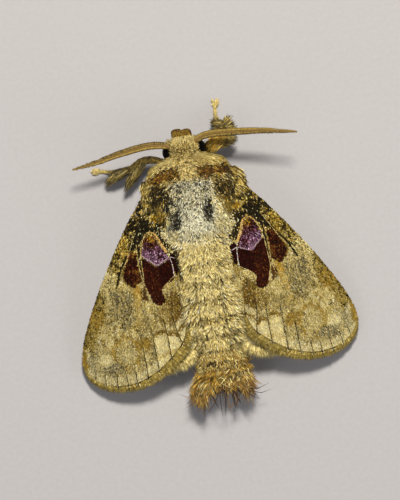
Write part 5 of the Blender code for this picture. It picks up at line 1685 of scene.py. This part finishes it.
def make_wing(kind, side, seed):
    """One wing: membrane with ridged veins, shingled scales on top and a fringe of long scales."""
    rng = np.random.default_rng(seed)
    sign = SIGNS[side]
    edges = wing_edges(kind, side)
    model_edges = wing_edges(kind, "right")
    fore = kind == "forewing"
    lines = vein_lines(kind, side, edges)
    node_name = kind + "_" + side

    rows, columns = (130, 110) if fore else (70, 60)
    along, across = np.meshgrid(np.linspace(0, 1, rows), np.linspace(0, 1, columns), indexing="ij")
    plan = wing_plan(edges, across, along)
    top = np.concatenate([plan, wing_heights(kind, plan, lines)[..., None]], axis=-1)
    rim = np.minimum(np.minimum(across, 1 - across) * 10, (1 - along) * 14)
    thickness = settings().wing_thickness / MM * (0.35 + 0.65 * ramp(0.0, 1.0, rim))
    bottom = top.copy()
    bottom[..., 2] -= thickness
    points = np.concatenate([top.reshape(-1, 3), bottom.reshape(-1, 3)])
    colours = mean_colours(wing_marks(kind, model_edges, across, along))
    under = colours * 0.55 + 0.45 * np.array(linear("#B8A468"))
    row, column = np.meshgrid(np.arange(rows - 1), np.arange(columns - 1), indexing="ij")
    near = (row * columns + column).ravel()
    quads = np.stack([near, near + 1, near + columns + 1, near + columns], axis=1)
    lower = quads[:, ::-1] + rows * columns
    loop = np.concatenate(
        [
            np.arange(columns),
            np.arange(1, rows) * columns + columns - 1,
            (rows - 1) * columns + np.arange(columns - 2, -1, -1),
            np.arange(rows - 2, 0, -1) * columns,
        ]
    )
    after = np.roll(loop, -1)
    sides = np.stack([loop, loop + rows * columns, after + rows * columns, after], axis=1)
    points[:, 0] *= sign
    membrane = mesh_piece(
        node_name + "_membrane", points, np.concatenate([quads, lower, sides]),
        np.concatenate([colours, under]),
    )
    face_outwards(membrane)
    # Membrane between veins, under shingled scales: matt, with the scale rows' small steps.
    material = shared_material(skin_material, "Wing membrane, shingled", 0.7, 0.12)
    finish_piece(membrane, material, (node_name,))

    count = settings().wing_scales if fore else settings().wing_scales // 6
    grid_along, grid_across = np.meshgrid(
        (np.arange(80) + 0.5) / 80, (np.arange(80) + 0.5) / 80, indexing="ij"
    )
    step = 0.004
    area = np.abs(
        np.cross(
            wing_plan(
                edges, grid_across + step, grid_along
            ) - wing_plan(edges, grid_across - step, grid_along),
            wing_plan(
                edges, grid_across, grid_along + step
            ) - wing_plan(edges, grid_across, grid_along - step),
        )
    )
    across, along = spread(area, (0, 1), (0, 1), count)
    length = settings().scale_length / MM * (1.0 if fore else 1.5)
    plan = wing_plan(edges, across, along)
    ahead = wing_plan(
        edges, across, np.minimum(along + step, 1.0)
    ) - wing_plan(edges, across, np.maximum(along - step, 0.0))
    ahead = unit(ahead + rng.normal(0, 0.14, ahead.shape) * np.linalg.norm(ahead, axis=1, keepdims=True))
    reach = length * rng.uniform(0.75, 1.25, count)
    height = wing_heights(kind, plan, lines)
    far = plan + ahead * reach[:, None]
    rise = wing_heights(kind, far, lines) - height + rng.uniform(0.015, 0.06, count)
    forward = np.concatenate([ahead * reach[:, None], rise[:, None]], axis=1)
    roots = np.concatenate([plan, height[:, None]], axis=1)
    outward = upward(forward).copy()
    outward[:, 0] += WING_SLOPE * 0.8
    outward = outward + rng.normal(0, 0.14, outward.shape)
    middle = np.minimum(along + 0.5 * reach / 18.0, 1.0)
    layers = wing_marks(kind, model_edges, across, middle)
    near_root = 0.33 * (1 - ramp(9.5, 12.5, plan[:, 1]))
    colours = drawn_colours(layers, rng, (0.18 + near_root)[:, None], (0.66 + near_root)[:, None])
    roots[:, 0] *= sign
    forward[:, 0] *= sign
    outward[:, 0] *= sign
    width = settings().scale_width / MM * (1.0 if fore else 1.5)
    sizes = np.stack([width * rng.uniform(0.8, 1.3, count), reach, np.full(count, 0.018)], axis=1)
    places = np.stack([0.01 + 0.96 * across, 0.01 + 0.96 * along], axis=1)
    # Flat wing scales, drawn about half as long again as real ones so that single ones show, with painted
    # shade at their roots and a faint painted highlight at their tips.
    material = shared_material(
        scale_material, "Wing scales, overlapping", 0.75, 0.06, root_shade=0.7, tip_light=1.08
    )
    name = node_name + "_scales"
    scales = scale_piece(
        name, vane_shape, roots, unit(forward), unit(outward), sizes, colours, places, material
    )
    finish_piece(scales, material, (node_name,))
    make_fringe(kind, side, edges, rng)
    if fore:
        make_lines(side, edges, lines, material, rng)


def make_lines(side, edges, lines, material, rng):
    """Rows of narrow scales that draw the dark veins, the outer edge and the fine pale lines."""
    sign = SIGNS[side]
    dark = {"umber": 0.45, "soot": 0.55}
    pale = {"orange": 0.25, "cream": 0.4, "ochre": 0.2, "soot": 0.15}
    rows = []
    for line, start in FOREWING_VEINS:
        curve = even_curve(line, 120)
        inked = curve[curve[:, 1] >= start]
        if len(inked) > 4:
            rows.append((on_side(inked, side), 0.08, dark))
    hem = on_curve(edges[2], np.linspace(0.3, 1.0, 50))
    rows.append((hem + 0.05 * unit(wing_plan(edges, np.array(0.5), np.array(0.6)) - hem), 0.115, dark))
    rows += [(on_side(line, side), 0.07, pale) for line in PALE_LINES]
    rows += [(on_side(line, side), 0.075, {"white": 0.6, "pink": 0.4}) for line in WHITE_LINES]
    arch = {"orange": 0.45, "cream": 0.2, "gold": 0.15, "rust": 0.12, "umber": 0.08}
    rows.append((on_side(ARCH, side), 0.1, arch))
    rows += [(on_side(ARCH[:3], side) + aside, 0.1, arch) for aside in (-0.06, 0.07)]
    rows.append((on_side(LILAC_RIM, side), 0.065, {"pink": 0.8, "white": 0.2}))
    roots, forward, sizes, colours = [], [], [], []
    for line, width, shares in rows:
        run = np.linalg.norm(np.diff(line, axis=0), axis=1).sum()
        count = max(int(run / 0.065), 5)
        curve = even_curve(line, count)
        ahead = unit(unit(np.gradient(curve, axis=0)) + rng.normal(0, 0.12, curve.shape))
        curve = curve + rng.normal(0, 0.018, curve.shape)
        reach = 0.16 * rng.uniform(0.85, 1.2, count)
        level = wing_heights("forewing", curve, lines) + 0.045
        rise = wing_heights("forewing", curve + ahead * reach[:, None], lines) + 0.055 - level
        roots.append(np.concatenate([curve, level[:, None]], axis=1))
        forward.append(np.concatenate([ahead * reach[:, None], rise[:, None]], axis=1))
        sizes.append(np.stack([width * rng.uniform(0.85, 1.2, count), reach, np.full(count, 0.03)], axis=1))
        colours.append(drawn_colours(blank(curve, **shares), rng, 0.16, 0.8))
    roots, forward = np.concatenate(roots) * (sign, 1, 1), np.concatenate(forward) * (sign, 1, 1)
    outward = upward(forward, 0.3 * sign)
    places = np.stack([0.5 + 0.03 * roots[:, 0] * sign, 0.03 * roots[:, 1] + 0.2], axis=1)
    name = "forewing_" + side + "_lines"
    piece = scale_piece(
        name, vane_shape, roots, unit(
            forward
        ), unit(outward), np.concatenate(sizes), np.concatenate(colours), places, material
    )
    finish_piece(piece, material, ("forewing_" + side,))


def make_fringe(kind, side, edges, rng):
    """Three overlapping rows of long scales along a wing's outer edge."""
    fore = kind == "forewing"
    sign = SIGNS[side]
    table = FOREWING_FRINGE if fore else HINDWING_FRINGE
    count = settings().fringe_scales if fore else settings().fringe_scales * 2 // 3
    first = 0.05 if fore else 0.03
    share = first + (0.999 - first) * (np.arange(count) + rng.uniform(0, 1, count)) / count
    layer = rng.integers(0, 3, count)
    termen = edges[2]
    point = on_curve(termen, share)
    ahead = way_along(termen, share)
    outward = unit(np.stack([ahead[:, 1], -ahead[:, 0]], axis=1))
    middle = wing_plan(edges, np.array(0.5), np.array(0.5))
    flip = np.sign(((point - middle) * outward).sum(axis=1))[:, None]
    lean = 0.35 * (grain(share * 60, 0 * share, 1.0, 97) - 0.5)[:, None] * unit(ahead)
    heading = unit(outward * flip + lean + rng.normal(0, 0.16, outward.shape))
    width = table_value(table, share) * (1.0 if fore else 1.25)
    ragged = 0.86 + 0.28 * grain(share * 45, 0 * share, 0.6, 98)
    reach = width * np.choose(layer, (0.6, 0.85, 1.05)) * rng.uniform(0.7, 1.15, count) * ragged + 0.12
    start = point - heading * 0.12
    drop = 0.0 if fore else HINDWING_DROP
    level = wing_top(start[:, 0]) - drop + np.choose(layer, (0.03, -0.02, -0.07))
    end = wing_top((start + heading * reach[:, None])[:, 0]) - drop - np.choose(layer, (-0.02, 0.05, 0.12))
    end = end + rng.normal(0, 0.05, count)
    forward = np.concatenate([heading * reach[:, None], (end - level)[:, None]], axis=1)
    roots = np.concatenate([start, level[:, None]], axis=1)
    sizes = np.stack([0.056 * rng.uniform(0.6, 1.4, count), reach, np.full(count, 0.035)], axis=1)
    if fore:
        layers = blank(roots, olive=0.38, ochre=0.16, straw=0.36, cream=0.06, umber=0.04)
        paint(layers, 0.5 * (layer == 0), umber=0.25, olive=0.7, soot=0.05)
        paint(layers, 0.4 * ramp(0.55, 0.8, grain(share * 14, 0 * share, 0.8, 95)), umber=0.4, olive=0.6)
    else:
        layers = blank(roots, cream=0.56, straw=0.32, grey=0.06, olive=0.06)
    colours = drawn_colours(layers, rng, 0.22)
    roots[:, 0] *= sign
    forward[:, 0] *= sign
    up = upward(forward, 0.3 * sign)
    places = np.stack([0.01 + 0.96 * share, np.full(count, 0.975)], axis=1)
    name = kind + "_" + side + "_fringe"
    # Fringe scales: long and thin, dull olive, closing to a soft uneven hem.
    material = shared_material(
        scale_material, "Fringe scales, hemmed", 0.7, 0.15, root_shade=0.65, tip_light=1.25
    )
    piece = scale_piece(name, tooth_shape, roots, unit(forward), unit(up), sizes, colours, places, material)
    finish_piece(piece, material, (kind + "_" + side,))


def make_feeler(side):
    """Feeler: a tapering shaft with close comb teeth on both sides."""
    rng = np.random.default_rng(settings().seed + (11 if side == "left" else 12))
    sign = SIGNS[side]
    path = even_curve(FEELER_ROUTES[side], 97)
    share = np.linspace(0, 1, len(path))
    radius = np.interp(share, (0, 0.03, 0.1, 0.7, 1), (0.17, 0.14, 0.095, 0.06, 0.03))
    mirror = np.array((sign, 1.0, 1.0))
    points, faces = tube_arrays(path, radius, radius, 8)
    ringed = 0.85 + 0.15 * np.sin(share * 2 * np.pi * 48)
    ring = np.repeat(ringed, 8)
    shade = np.array(linear("#8E7038")) * np.concatenate([ring, ring[:1], ring[-1:]])[:, None]
    shaft = mesh_piece("antenna_" + side + "_shaft", points * mirror, faces, shade)
    face_outwards(shaft)
    # Shaft cuticle under pale scales: ringed, with a low waxy gloss.
    material = shared_material(skin_material, "Feeler shaft, scaled", 0.5, 0.08)
    finish_piece(shaft, material, ("antenna_" + side,))

    teeth = 165
    layers_deep = 3
    place = np.repeat((np.arange(teeth) + 0.5) / teeth, 2 * layers_deep)
    place = np.clip(0.025 + 0.97 * place + rng.normal(0, 0.0015, len(place)), 0, 1)
    hand = np.tile((1.0, -1.0), teeth * layers_deep)
    layer = np.tile(np.repeat(np.arange(layers_deep), 2), teeth) / layers_deep
    roots = on_curve(path, place)
    ahead = unit(way_along(path, place))
    side_way = unit(np.cross(ahead, np.array((0.0, 0.0, 1.0))))
    up = np.cross(side_way, ahead)
    across = side_way * hand[:, None]
    forward = across + ahead * (0.3 + 0.2 * layer)[:, None] - up * (0.05 + 0.55 * layer)[:, None]
    forward = unit(forward + rng.normal(0, 0.05, forward.shape))
    stretch = np.linalg.norm(forward - ahead * (forward * ahead).sum(axis=1, keepdims=True), axis=1)
    reach = table_value(FEELER_HALF_WIDTH, place) * (1 + 0.1 * layer) / stretch
    reach = reach * np.clip(
        1 + rng.normal(0, 1, len(place)) * (0.04 + 0.3 * ramp(0.5, 1.0, place)), 0.4, 1.9
    )
    sizes = np.stack([0.15 * (1 - 0.55 * place), reach, np.full(len(place), 0.02)], axis=1)
    layers = blank(roots, umber=0.28, ochre=0.46, straw=0.2, rust=0.06)
    paint(layers, 0.35 * (hand * sign > 0), umber=0.75, soot=0.25)
    colours = drawn_colours(layers, rng, 0.1, 0.12)
    places = np.stack([0.01 + 0.96 * place, 0.5 + 0.2 * hand + 0.1 * layer], axis=1)
    # Comb teeth: thin brown chitin with a fringe of hairs, nearly matt, and painted lighter beside the shaft,
    # painted light over the shade in the gap between shaft and teeth.
    material = shared_material(scale_material, "Comb teeth, ciliated", 0.6, 0.3, root_shade=1.25)
    name = "antenna_" + side + "_comb"
    piece = scale_piece(
        name, vane_shape, roots * mirror, forward * mirror, unit(up) * mirror, sizes, colours, places,
        material,
    )
    finish_piece(piece, material, ("antenna_" + side,))


def make_eye(side):
    """Compound eye: a fine glossy ellipsoid."""
    sign = SIGNS[side]
    work = bmesh.new()
    bmesh.ops.create_icosphere(work, subdivisions=5, radius=1.0)
    mesh = bpy.data.meshes.new("eye_" + side + "_facets")
    centre = np.array(EYE_CENTRE) * (sign, 1, 1)
    for corner in work.verts:
        place = (centre + np.array(corner.co) * EYE_RADII + SHIFT) * MM
        corner.co = place
    bmesh.ops.recalc_face_normals(work, faces=work.faces)
    work.to_mesh(mesh)
    work.free()
    mesh.shade_smooth()
    piece = add_object(mesh.name, mesh)
    material = bpy.data.materials.get("Compound eye, faceted")
    if not material:
        # Black lens cuticle, its facets of about 0.03 mm drawn at 0.06 mm: a deep gloss with a fine grain.
        material, tree = new_material("Compound eye, faceted")
        place = node(tree, "ShaderNodeTexCoord").outputs["Object"]
        facets = node(
            tree, "ShaderNodeTexVoronoi", {"Vector": place, "Scale": 1 / (0.06 * MM)}
        ).outputs["Distance"]
        sockets = {0: facets, 6: (*linear("#0A0806"), 1), 7: (*linear("#020202"), 1)}
        tone = node(tree, "ShaderNodeMix", sockets, data_type="RGBA").outputs[2]
        close_material(tree, tone, 0.3, 0.04, 1.45, Normal=relief(tree, facets, 0.25, 0.01, invert=True))
    finish_piece(piece, material, ("eye_" + side,))


def tube_scales(
    name, path, widths, count, rng, mirror, shares, length, width, material, nodes,
    tilt=0.25, over=(0.1, 0.2, 1.0), flat=1.0, power=1.0,
):
    """Scales that lie along a limb, all round it."""
    share, turn = scatter(count)
    share = 0.02 + 0.96 * share
    angle = 2 * np.pi * turn
    ahead = unit(way_along(path, share))
    across = unit(np.cross(ahead, np.array(over)))
    lift = np.cross(across, ahead)
    outward = across * np.cos(angle)[:, None] + lift * np.sin(angle)[:, None]
    radius = np.interp(share, np.linspace(0, 1, len(widths)), widths)
    offset = across * (
        flat * squared(np.cos(angle), power)
    )[:, None] + lift * squared(np.sin(angle), power)[:, None]
    roots = on_curve(path, share) + offset * radius[:, None] * 0.92
    forward = unit(ahead + outward * tilt + rng.normal(0, 0.08, ahead.shape))
    reach = length * rng.uniform(0.75, 1.2, count) * np.clip(0.35 + radius / 0.22, 0.4, 1.3)
    roots[:, 2] = np.maximum(roots[:, 2], 0.03)
    low = roots[:, 2] + forward[:, 2] * reach < 0.01
    forward[low, 2] = np.maximum(forward[low, 2], 0.0)
    sizes = np.stack([np.full(count, width), reach, np.full(count, 0.025)], axis=1)
    layers = shares(share, roots)
    colours = drawn_colours(layers, rng)
    places = np.stack([0.01 + 0.96 * angle / (2 * np.pi), 0.01 + 0.96 * share], axis=1)
    piece = scale_piece(
        name, tooth_shape, roots * mirror, unit(forward) * mirror, outward * mirror, sizes, colours, places,
        material,
    )
    finish_piece(piece, material, nodes)


def make_palp(side):
    """Palp: a stout upturned limb in golden-brown scales."""
    rng = np.random.default_rng(settings().seed + (21 if side == "left" else 22))
    sign = SIGNS[side]
    mirror = np.array((sign, 1.0, 1.0))
    path = even_curve(PALP_ROUTE, 25)
    path[:, 1] -= 0.05 + 0.06 * sign
    widths = table_value(PALP_HALF_WIDTHS, np.linspace(0, 1, 25)) - 0.05
    points, faces = tube_arrays(path, PALP_DEPTH * widths, widths, 24, (1.0, 0.0, 0.0), PALP_SQUARENESS)
    shade = np.tile(np.array(linear("#5E4318")), (len(points), 1))
    limb = mesh_piece("palp_" + side + "_limb", points * mirror, faces, shade)
    face_outwards(limb)
    material = shared_material(skin_material, "Scaled cuticle, felted", 0.8, 0.14)
    finish_piece(limb, material, ("palp_" + side,))

    def shares(share, roots):
        layers = blank(share, ochre=0.48, umber=0.26, gold=0.2, soot=0.06)
        # Painted shade: darker scales at the palp's front end, its outer side and along the middle where the
        # two palps meet.
        rim = ramp(1.84, 1.98, -roots[:, 1]) + ramp(0.72, 0.92, roots[:, 0]) + 0.5 * (
            1 - ramp(0.02, 0.08, roots[:, 0])
        )
        paint(layers, 0.8 * np.clip(rim, 0, 1), umber=0.52, soot=0.38, ochre=0.1)
        return layers

    # Palp scales: short, golden brown, overlapping like shingles with a low gloss and painted shade at their
    # roots.
    scales = shared_material(scale_material, "Palp scales, shingled", 0.55, 0.2, root_shade=0.55)
    tube_scales(
        "palp_" + side + "_scales", path, widths, 1900, rng, mirror, shares, 0.22, 0.08, scales,
        ("palp_" + side,),
        0.12, (1.0, 0.0, 0.0), PALP_DEPTH, PALP_SQUARENESS,
    )


def make_leg(kind, side):
    """Leg: jointed limb with lying scales, fans of long scales and two claws."""
    node_name = kind if kind.startswith("foreleg") else kind + "_" + side
    rng = np.random.default_rng(settings().seed + 31 + sum(map(ord, node_name)))
    sign = SIGNS[side]
    mirror = np.array((sign, 1.0, 1.0))
    golden = node_name == "foreleg_right"
    front = kind.startswith("foreleg")
    path = even_curve(LEG_ROUTES[kind], 90)
    share = np.linspace(0, 1, len(path))
    widths = table_value(LEG_HALF_WIDTHS, share)
    joints = 0.88 + 0.12 * np.abs(np.sin(np.pi * (share - 0.7) / 0.06)) ** 0.5
    widths = widths * np.where(share > 0.7, joints, 1.0)
    path[:, 2] = np.maximum(path[:, 2], widths + 0.005)
    points, faces = tube_arrays(path, widths, widths, 14)
    points[:, 2] = np.maximum(points[:, 2], 0.0)

    def shares(place, roots):
        layers = blank(place, umber=0.34, olive=0.34, soot=0.14, ochre=0.18)
        if golden:
            paint(layers, 1 - ramp(0.3, 0.42, place), gold=0.6, ochre=0.12, umber=0.08, straw=0.2)
        if not front:
            paint(layers, np.full(len(place), 0.7), straw=0.4, ochre=0.35, umber=0.25)
        paint(layers, ramp(0.6, 0.7, place), straw=0.55, cream=0.3, ochre=0.15)
        return layers

    # Painted shade: the limb under its scales is darker than the mix of its scales.
    shade = mean_colours(shares(np.concatenate([np.repeat(share, 14), [0.0, 1.0]]), points)) * 0.7
    limb = mesh_piece(node_name + "_limb", points * mirror, faces, shade)
    face_outwards(limb)
    cuticle = shared_material(skin_material, "Scaled cuticle, felted", 0.8, 0.14)
    finish_piece(limb, cuticle, (node_name,))
    # Leg scales: dull olive brown, pressed to the limb, with painted shade at their roots so the tips look
    # brighter.
    material = shared_material(scale_material, "Leg scales, lying", 0.6, 0.25, root_shade=0.6)
    tube_scales(
        node_name + "_scales", path, widths, 3400 if front else 1500, rng,
        mirror, shares, 0.34, 0.075, material, (node_name,),
    )

    paths = []
    tones = []
    steps = np.array((0.0, 0.35, 0.7, 1.0))
    for fan, (first_root, last_root, first_tip, last_tip) in enumerate(LEG_FANS[kind]):
        count = 900 if front else 300
        thigh = golden and fan == THIGH_FAN
        place = rng.random(count)
        root = np.array(first_root) + place[:, None] * (np.array(last_root) - np.array(first_root))
        end_place = np.clip(place + rng.normal(0, 0.22, count), -0.08, 1.08)
        tip = np.array(first_tip) + end_place[:, None] * (np.array(last_tip) - np.array(first_tip))
        tip = root + (tip - root) * rng.uniform(0.35, 1.1, count)[:, None] + rng.normal(0, 0.15, root.shape)
        tip[:, 2] += rng.normal(0, 0.12 if thigh else 0.3, count)
        root = root + rng.normal(0, 0.12, root.shape)
        path_set = root[:, None] + (tip - root)[:, None] * steps[None, :, None]
        path_set[..., 2] += 0.25 * np.sin(np.pi * steps)
        path_set[..., :2] += rng.normal(0, 0.07, (count, 1, 2)) * np.sin(np.pi * steps)[:, None]
        paths.append(path_set)
        if thigh:
            layers = blank(root, gold=0.52, straw=0.3, ochre=0.18)
        elif golden and fan == 0:
            layers = blank(root, ochre=0.26, olive=0.22, straw=0.24, umber=0.18, soot=0.1)
        elif front:
            layers = blank(root, umber=0.26, olive=0.28, soot=0.14, straw=0.32)
        else:
            layers = blank(root, straw=0.5, umber=0.25, ochre=0.25)
        tones.append(drawn_colours(layers, rng, 0.25))
        if thigh:
            # Painted light: the golden scales are made lighter, most at the fan's front edge, so they stay
            # bright in the feeler's cast shadow.
            painted_light = 1.75 - 0.8 * np.clip(end_place, 0, 1)[:, None]
            tones[-1] = np.clip(tones[-1] * painted_light * (0.94, 0.88, 0.66), 0, 0.9)
    # Pale scales that spread round the foot's last joint.
    count = 130
    heading = unit((path[-1] - path[-8]) * (1, 1, 0))
    spread_way = rng.uniform(-0.9, 0.9, count)
    aside = np.array((-heading[1], heading[0], 0.0))
    way = unit(heading * np.cos(spread_way)[:, None] + aside * np.sin(spread_way)[:, None] + (0, 0, 0.25))
    root = path[-1] - heading * rng.uniform(0.0, 0.5, (count, 1)) + rng.normal(0, 0.04, (count, 3))
    tip = root + way * rng.uniform(0.35, 0.65, (count, 1))
    paths.append(root[:, None] + (tip - root)[:, None] * steps[None, :, None])
    tones.append(drawn_colours(blank(root, straw=0.5, cream=0.4, ochre=0.1), rng, 0.15))
    paths = np.concatenate(paths)
    paths[..., 2] = np.maximum(paths[..., 2], 0.06)
    count = len(paths)
    outward = upward(paths)
    places = np.stack([0.25 + 0.1 * rng.random(count), 0.2 + 0.4 * (np.arange(count) / count)], axis=1)
    widths = 0.036 * rng.uniform(0.7, 1.3, count)
    fans = hair_piece(node_name + "_fans", paths * mirror, outward, widths, np.concatenate(tones), places)
    # Tuft scales: long, with painted shade at the root and a painted highlight at the tip, so the tuft looks
    # deep.
    tuft = shared_material(
        scale_material, "Leg tuft scales, loose", 0.5, 0.4, root_shade=0.2, tip_light=1.3
    )
    finish_piece(fans, tuft, (node_name,))

    heading = unit(path[-1] - path[-6])
    aside = np.array((-heading[1], heading[0], 0.0))
    claws = []
    for hand in (1.0, -1.0):
        bend = np.array([(0.0, 0.0, 0.1), (0.1, 0.07, 0.12), (0.2, 0.12, 0.1), (0.28, 0.14, 0.03)])
        claws.append(
            path[-1] * (
                1, 1, 0
            ) + bend[:, :1] * heading * (1, 1, 0) + bend[:, 1:2] * hand * aside + bend[:, 2:] * (0, 0, 1)
        )
    all_points = []
    all_faces = []
    for claw in claws:
        points, faces = tube_arrays(
            even_curve(claw, 9), np.linspace(0.045, 0.012, 9), np.linspace(0.045, 0.012, 9), 8
        )
        points[:, 2] = np.maximum(points[:, 2], 0.0)
        all_faces.append(faces + sum(map(len, all_points)))
        all_points.append(points)
    claw_points = np.concatenate(all_points)
    shade = np.tile(np.array(linear("#3A2412")), (len(claw_points), 1))
    piece = mesh_piece(node_name + "_claws", claw_points * mirror, np.concatenate(all_faces), shade)
    face_outwards(piece)
    # Claws: bare dark amber cuticle, smooth and glossy.
    horn = shared_material(scale_material, "Claw cuticle, bare", 0.25, 0.5, root_shade=1.0, bump=0.05)
    finish_piece(piece, horn, (node_name,))


# Stage: half the floor's side, then each light's name, place, size, watts and colour.
FLOOR_REACH = 0.45
STAGE_LIGHTS = (
    ("key", (-0.03, -0.12, 0.29), 0.05, 1.5, "#FFFAF2"),
    ("fill", (0.18, 0.1, 0.22), 0.22, 0.2, "#F8F8FF"),
    ("rim", (-0.2, 0.14, 0.15), 0.18, 0.2, "#FFFFFF"),
)
# View: pixels along the picture and to a millimetre, the point in the middle, the turn and the wings' height.
IMAGE_TALL = 500
PIXELS_PER_MM = 10.3
SENSOR = 36.0
VIEW_CENTRE = (0.165, 9.879, 0.0)
VIEW_TURN = 170.0
WING_LEVEL = 3.5


def make_stage():
    """Pale floor, soft studio light and the camera straight above."""
    scene = bpy.context.scene
    mesh = bpy.data.meshes.new("floor")
    corners = [(FLOOR_REACH * x, FLOOR_REACH * y, 0) for x, y in ((-1, -1), (1, -1), (1, 1), (-1, 1))]
    mesh.from_pydata(corners, [], [(0, 1, 2, 3)])
    floor = add_object("floor", mesh)
    # Plain matt paper: pale and even, with the faintest tooth.
    material, tree = new_material("Paper, matt")
    place = node(tree, "ShaderNodeTexCoord").outputs["Object"]
    tooth = node(tree, "ShaderNodeTexNoise", {"Vector": place, "Scale": 1 / (0.4 * MM), "Detail": 3.0})
    sockets = {0: tooth.outputs["Fac"], 6: (*linear("#9A9797"), 1), 7: (*linear("#A2A0A0"), 1)}
    tone = node(tree, "ShaderNodeMix", sockets, data_type="RGBA").outputs[2]
    close_material(tree, tone, 0.9, 0.2, 1.5)
    mesh.materials.append(material)

    for name, place, size, watts, colour in STAGE_LIGHTS:
        lamp = bpy.data.lights.new(name, "AREA")
        lamp.shape = "DISK"
        lamp.size = size
        lamp.energy = watts
        lamp.color = linear(colour)
        thing = add_object(name, lamp)
        thing.location = place
        tilt = np.arccos(place[2] / np.linalg.norm(place))
        thing.rotation_euler = (tilt, 0.0, math.atan2(place[0], -place[1]))
    world = bpy.data.worlds.new("Soft surround")
    world.use_nodes = True
    world.node_tree.nodes["Background"].inputs["Color"].default_value = (*linear("#E6E8EC"), 1)
    world.node_tree.nodes["Background"].inputs["Strength"].default_value = 0.18
    scene.world = world
    scene.view_settings.view_transform = "Standard"

    camera = bpy.data.cameras.new("camera")
    viewer = add_object("camera", camera)
    distance = settings().camera_distance
    camera.sensor_fit = "AUTO"
    camera.sensor_width = SENSOR
    camera.lens = SENSOR * distance / (IMAGE_TALL / PIXELS_PER_MM * MM)
    camera.clip_start = 0.01
    camera.clip_end = 5.0
    centre = (np.array(VIEW_CENTRE) + SHIFT) * MM
    viewer.location = (centre[0], centre[1], distance + WING_LEVEL * MM)
    viewer.rotation_euler = (0.0, 0.0, math.radians(VIEW_TURN))
    scene.camera = viewer


class MOTH_OT_body_skin(bpy.types.Operator):
    """Build the skin of head, thorax and abdomen"""

    bl_idname = "moth.body_skin"
    bl_label = "Body skin"

    def execute(self, context):
        make_body_skin()
        return {"FINISHED"}


class MOTH_OT_body_coat(bpy.types.Operator):
    """Grow the coat of head and thorax with its brow tufts"""

    bl_idname = "moth.body_coat"
    bl_label = "Body coat"

    def execute(self, context):
        make_body_coat()
        make_brow_tufts()
        make_shoulder_tufts()
        make_flap_edges()
        return {"FINISHED"}


class MOTH_OT_abdomen_coat(bpy.types.Operator):
    """Grow the coat of the abdomen and its tail tuft"""

    bl_idname = "moth.abdomen_coat"
    bl_label = "Abdomen and tail coat"

    def execute(self, context):
        make_abdomen_coat()
        make_flank_coat()
        make_tail()
        return {"FINISHED"}


class MOTH_OT_wings(bpy.types.Operator):
    """Build both pairs of wings with their scales and fringes"""

    bl_idname = "moth.wings"
    bl_label = "Wings"

    def execute(self, context):
        for index, (kind, side) in enumerate(
            (("forewing", "left"), ("forewing", "right"), ("hindwing", "left"), ("hindwing", "right"))
        ):
            make_wing(kind, side, settings().seed + 41 + index)
        return {"FINISHED"}


class MOTH_OT_feelers(bpy.types.Operator):
    """Build the combed feelers"""

    bl_idname = "moth.feelers"
    bl_label = "Feelers"

    def execute(self, context):
        for side in ("left", "right"):
            make_feeler(side)
        return {"FINISHED"}


class MOTH_OT_face(bpy.types.Operator):
    """Build the eyes and palps"""

    bl_idname = "moth.face"
    bl_label = "Eyes and palps"

    def execute(self, context):
        for side in ("left", "right"):
            make_eye(side)
            make_palp(side)
        return {"FINISHED"}


class MOTH_OT_legs(bpy.types.Operator):
    """Build the six legs"""

    bl_idname = "moth.legs"
    bl_label = "Legs"

    def execute(self, context):
        for side in ("left", "right"):
            for kind in ("foreleg_" + side, "midleg", "hindleg"):
                make_leg(kind, side)
        return {"FINISHED"}


class MOTH_OT_stage(bpy.types.Operator):
    """Set the floor, the lights and the camera"""

    bl_idname = "moth.stage"
    bl_label = "Stage"

    def execute(self, context):
        make_stage()
        return {"FINISHED"}


OPERATORS = (
    MOTH_OT_body_skin,
    MOTH_OT_body_coat,
    MOTH_OT_abdomen_coat,
    MOTH_OT_wings,
    MOTH_OT_feelers,
    MOTH_OT_face,
    MOTH_OT_legs,
    MOTH_OT_stage,
)


class MOTH_PT_panel(bpy.types.Panel):
    """Settings and pieces of the moth"""

    bl_label = "Cup moth"
    bl_idname = "MOTH_PT_panel"
    bl_space_type = "VIEW_3D"
    bl_region_type = "UI"
    bl_category = "Moth"

    def draw(self, context):
        for name in MothSettings.__annotations__:
            self.layout.prop(context.scene.cup_moth, name)
        for operator in OPERATORS:
            self.layout.operator(operator.bl_idname)


def register():
    """Register the classes and the settings."""
    for kind in (MothSettings, *OPERATORS, MOTH_PT_panel):
        bpy.utils.register_class(kind)
    bpy.types.Scene.cup_moth = bpy.props.PointerProperty(type=MothSettings)


def unregister():
    """Remove the settings and the classes."""
    del bpy.types.Scene.cup_moth
    for kind in (MOTH_PT_panel, *reversed(OPERATORS), MothSettings):
        bpy.utils.unregister_class(kind)


def main():
    """Build every piece in order."""
    register()
    for operator in OPERATORS:
        group, name = operator.bl_idname.split(".")
        getattr(getattr(bpy.ops, group), name)()


if __name__ == "__main__":
    main()
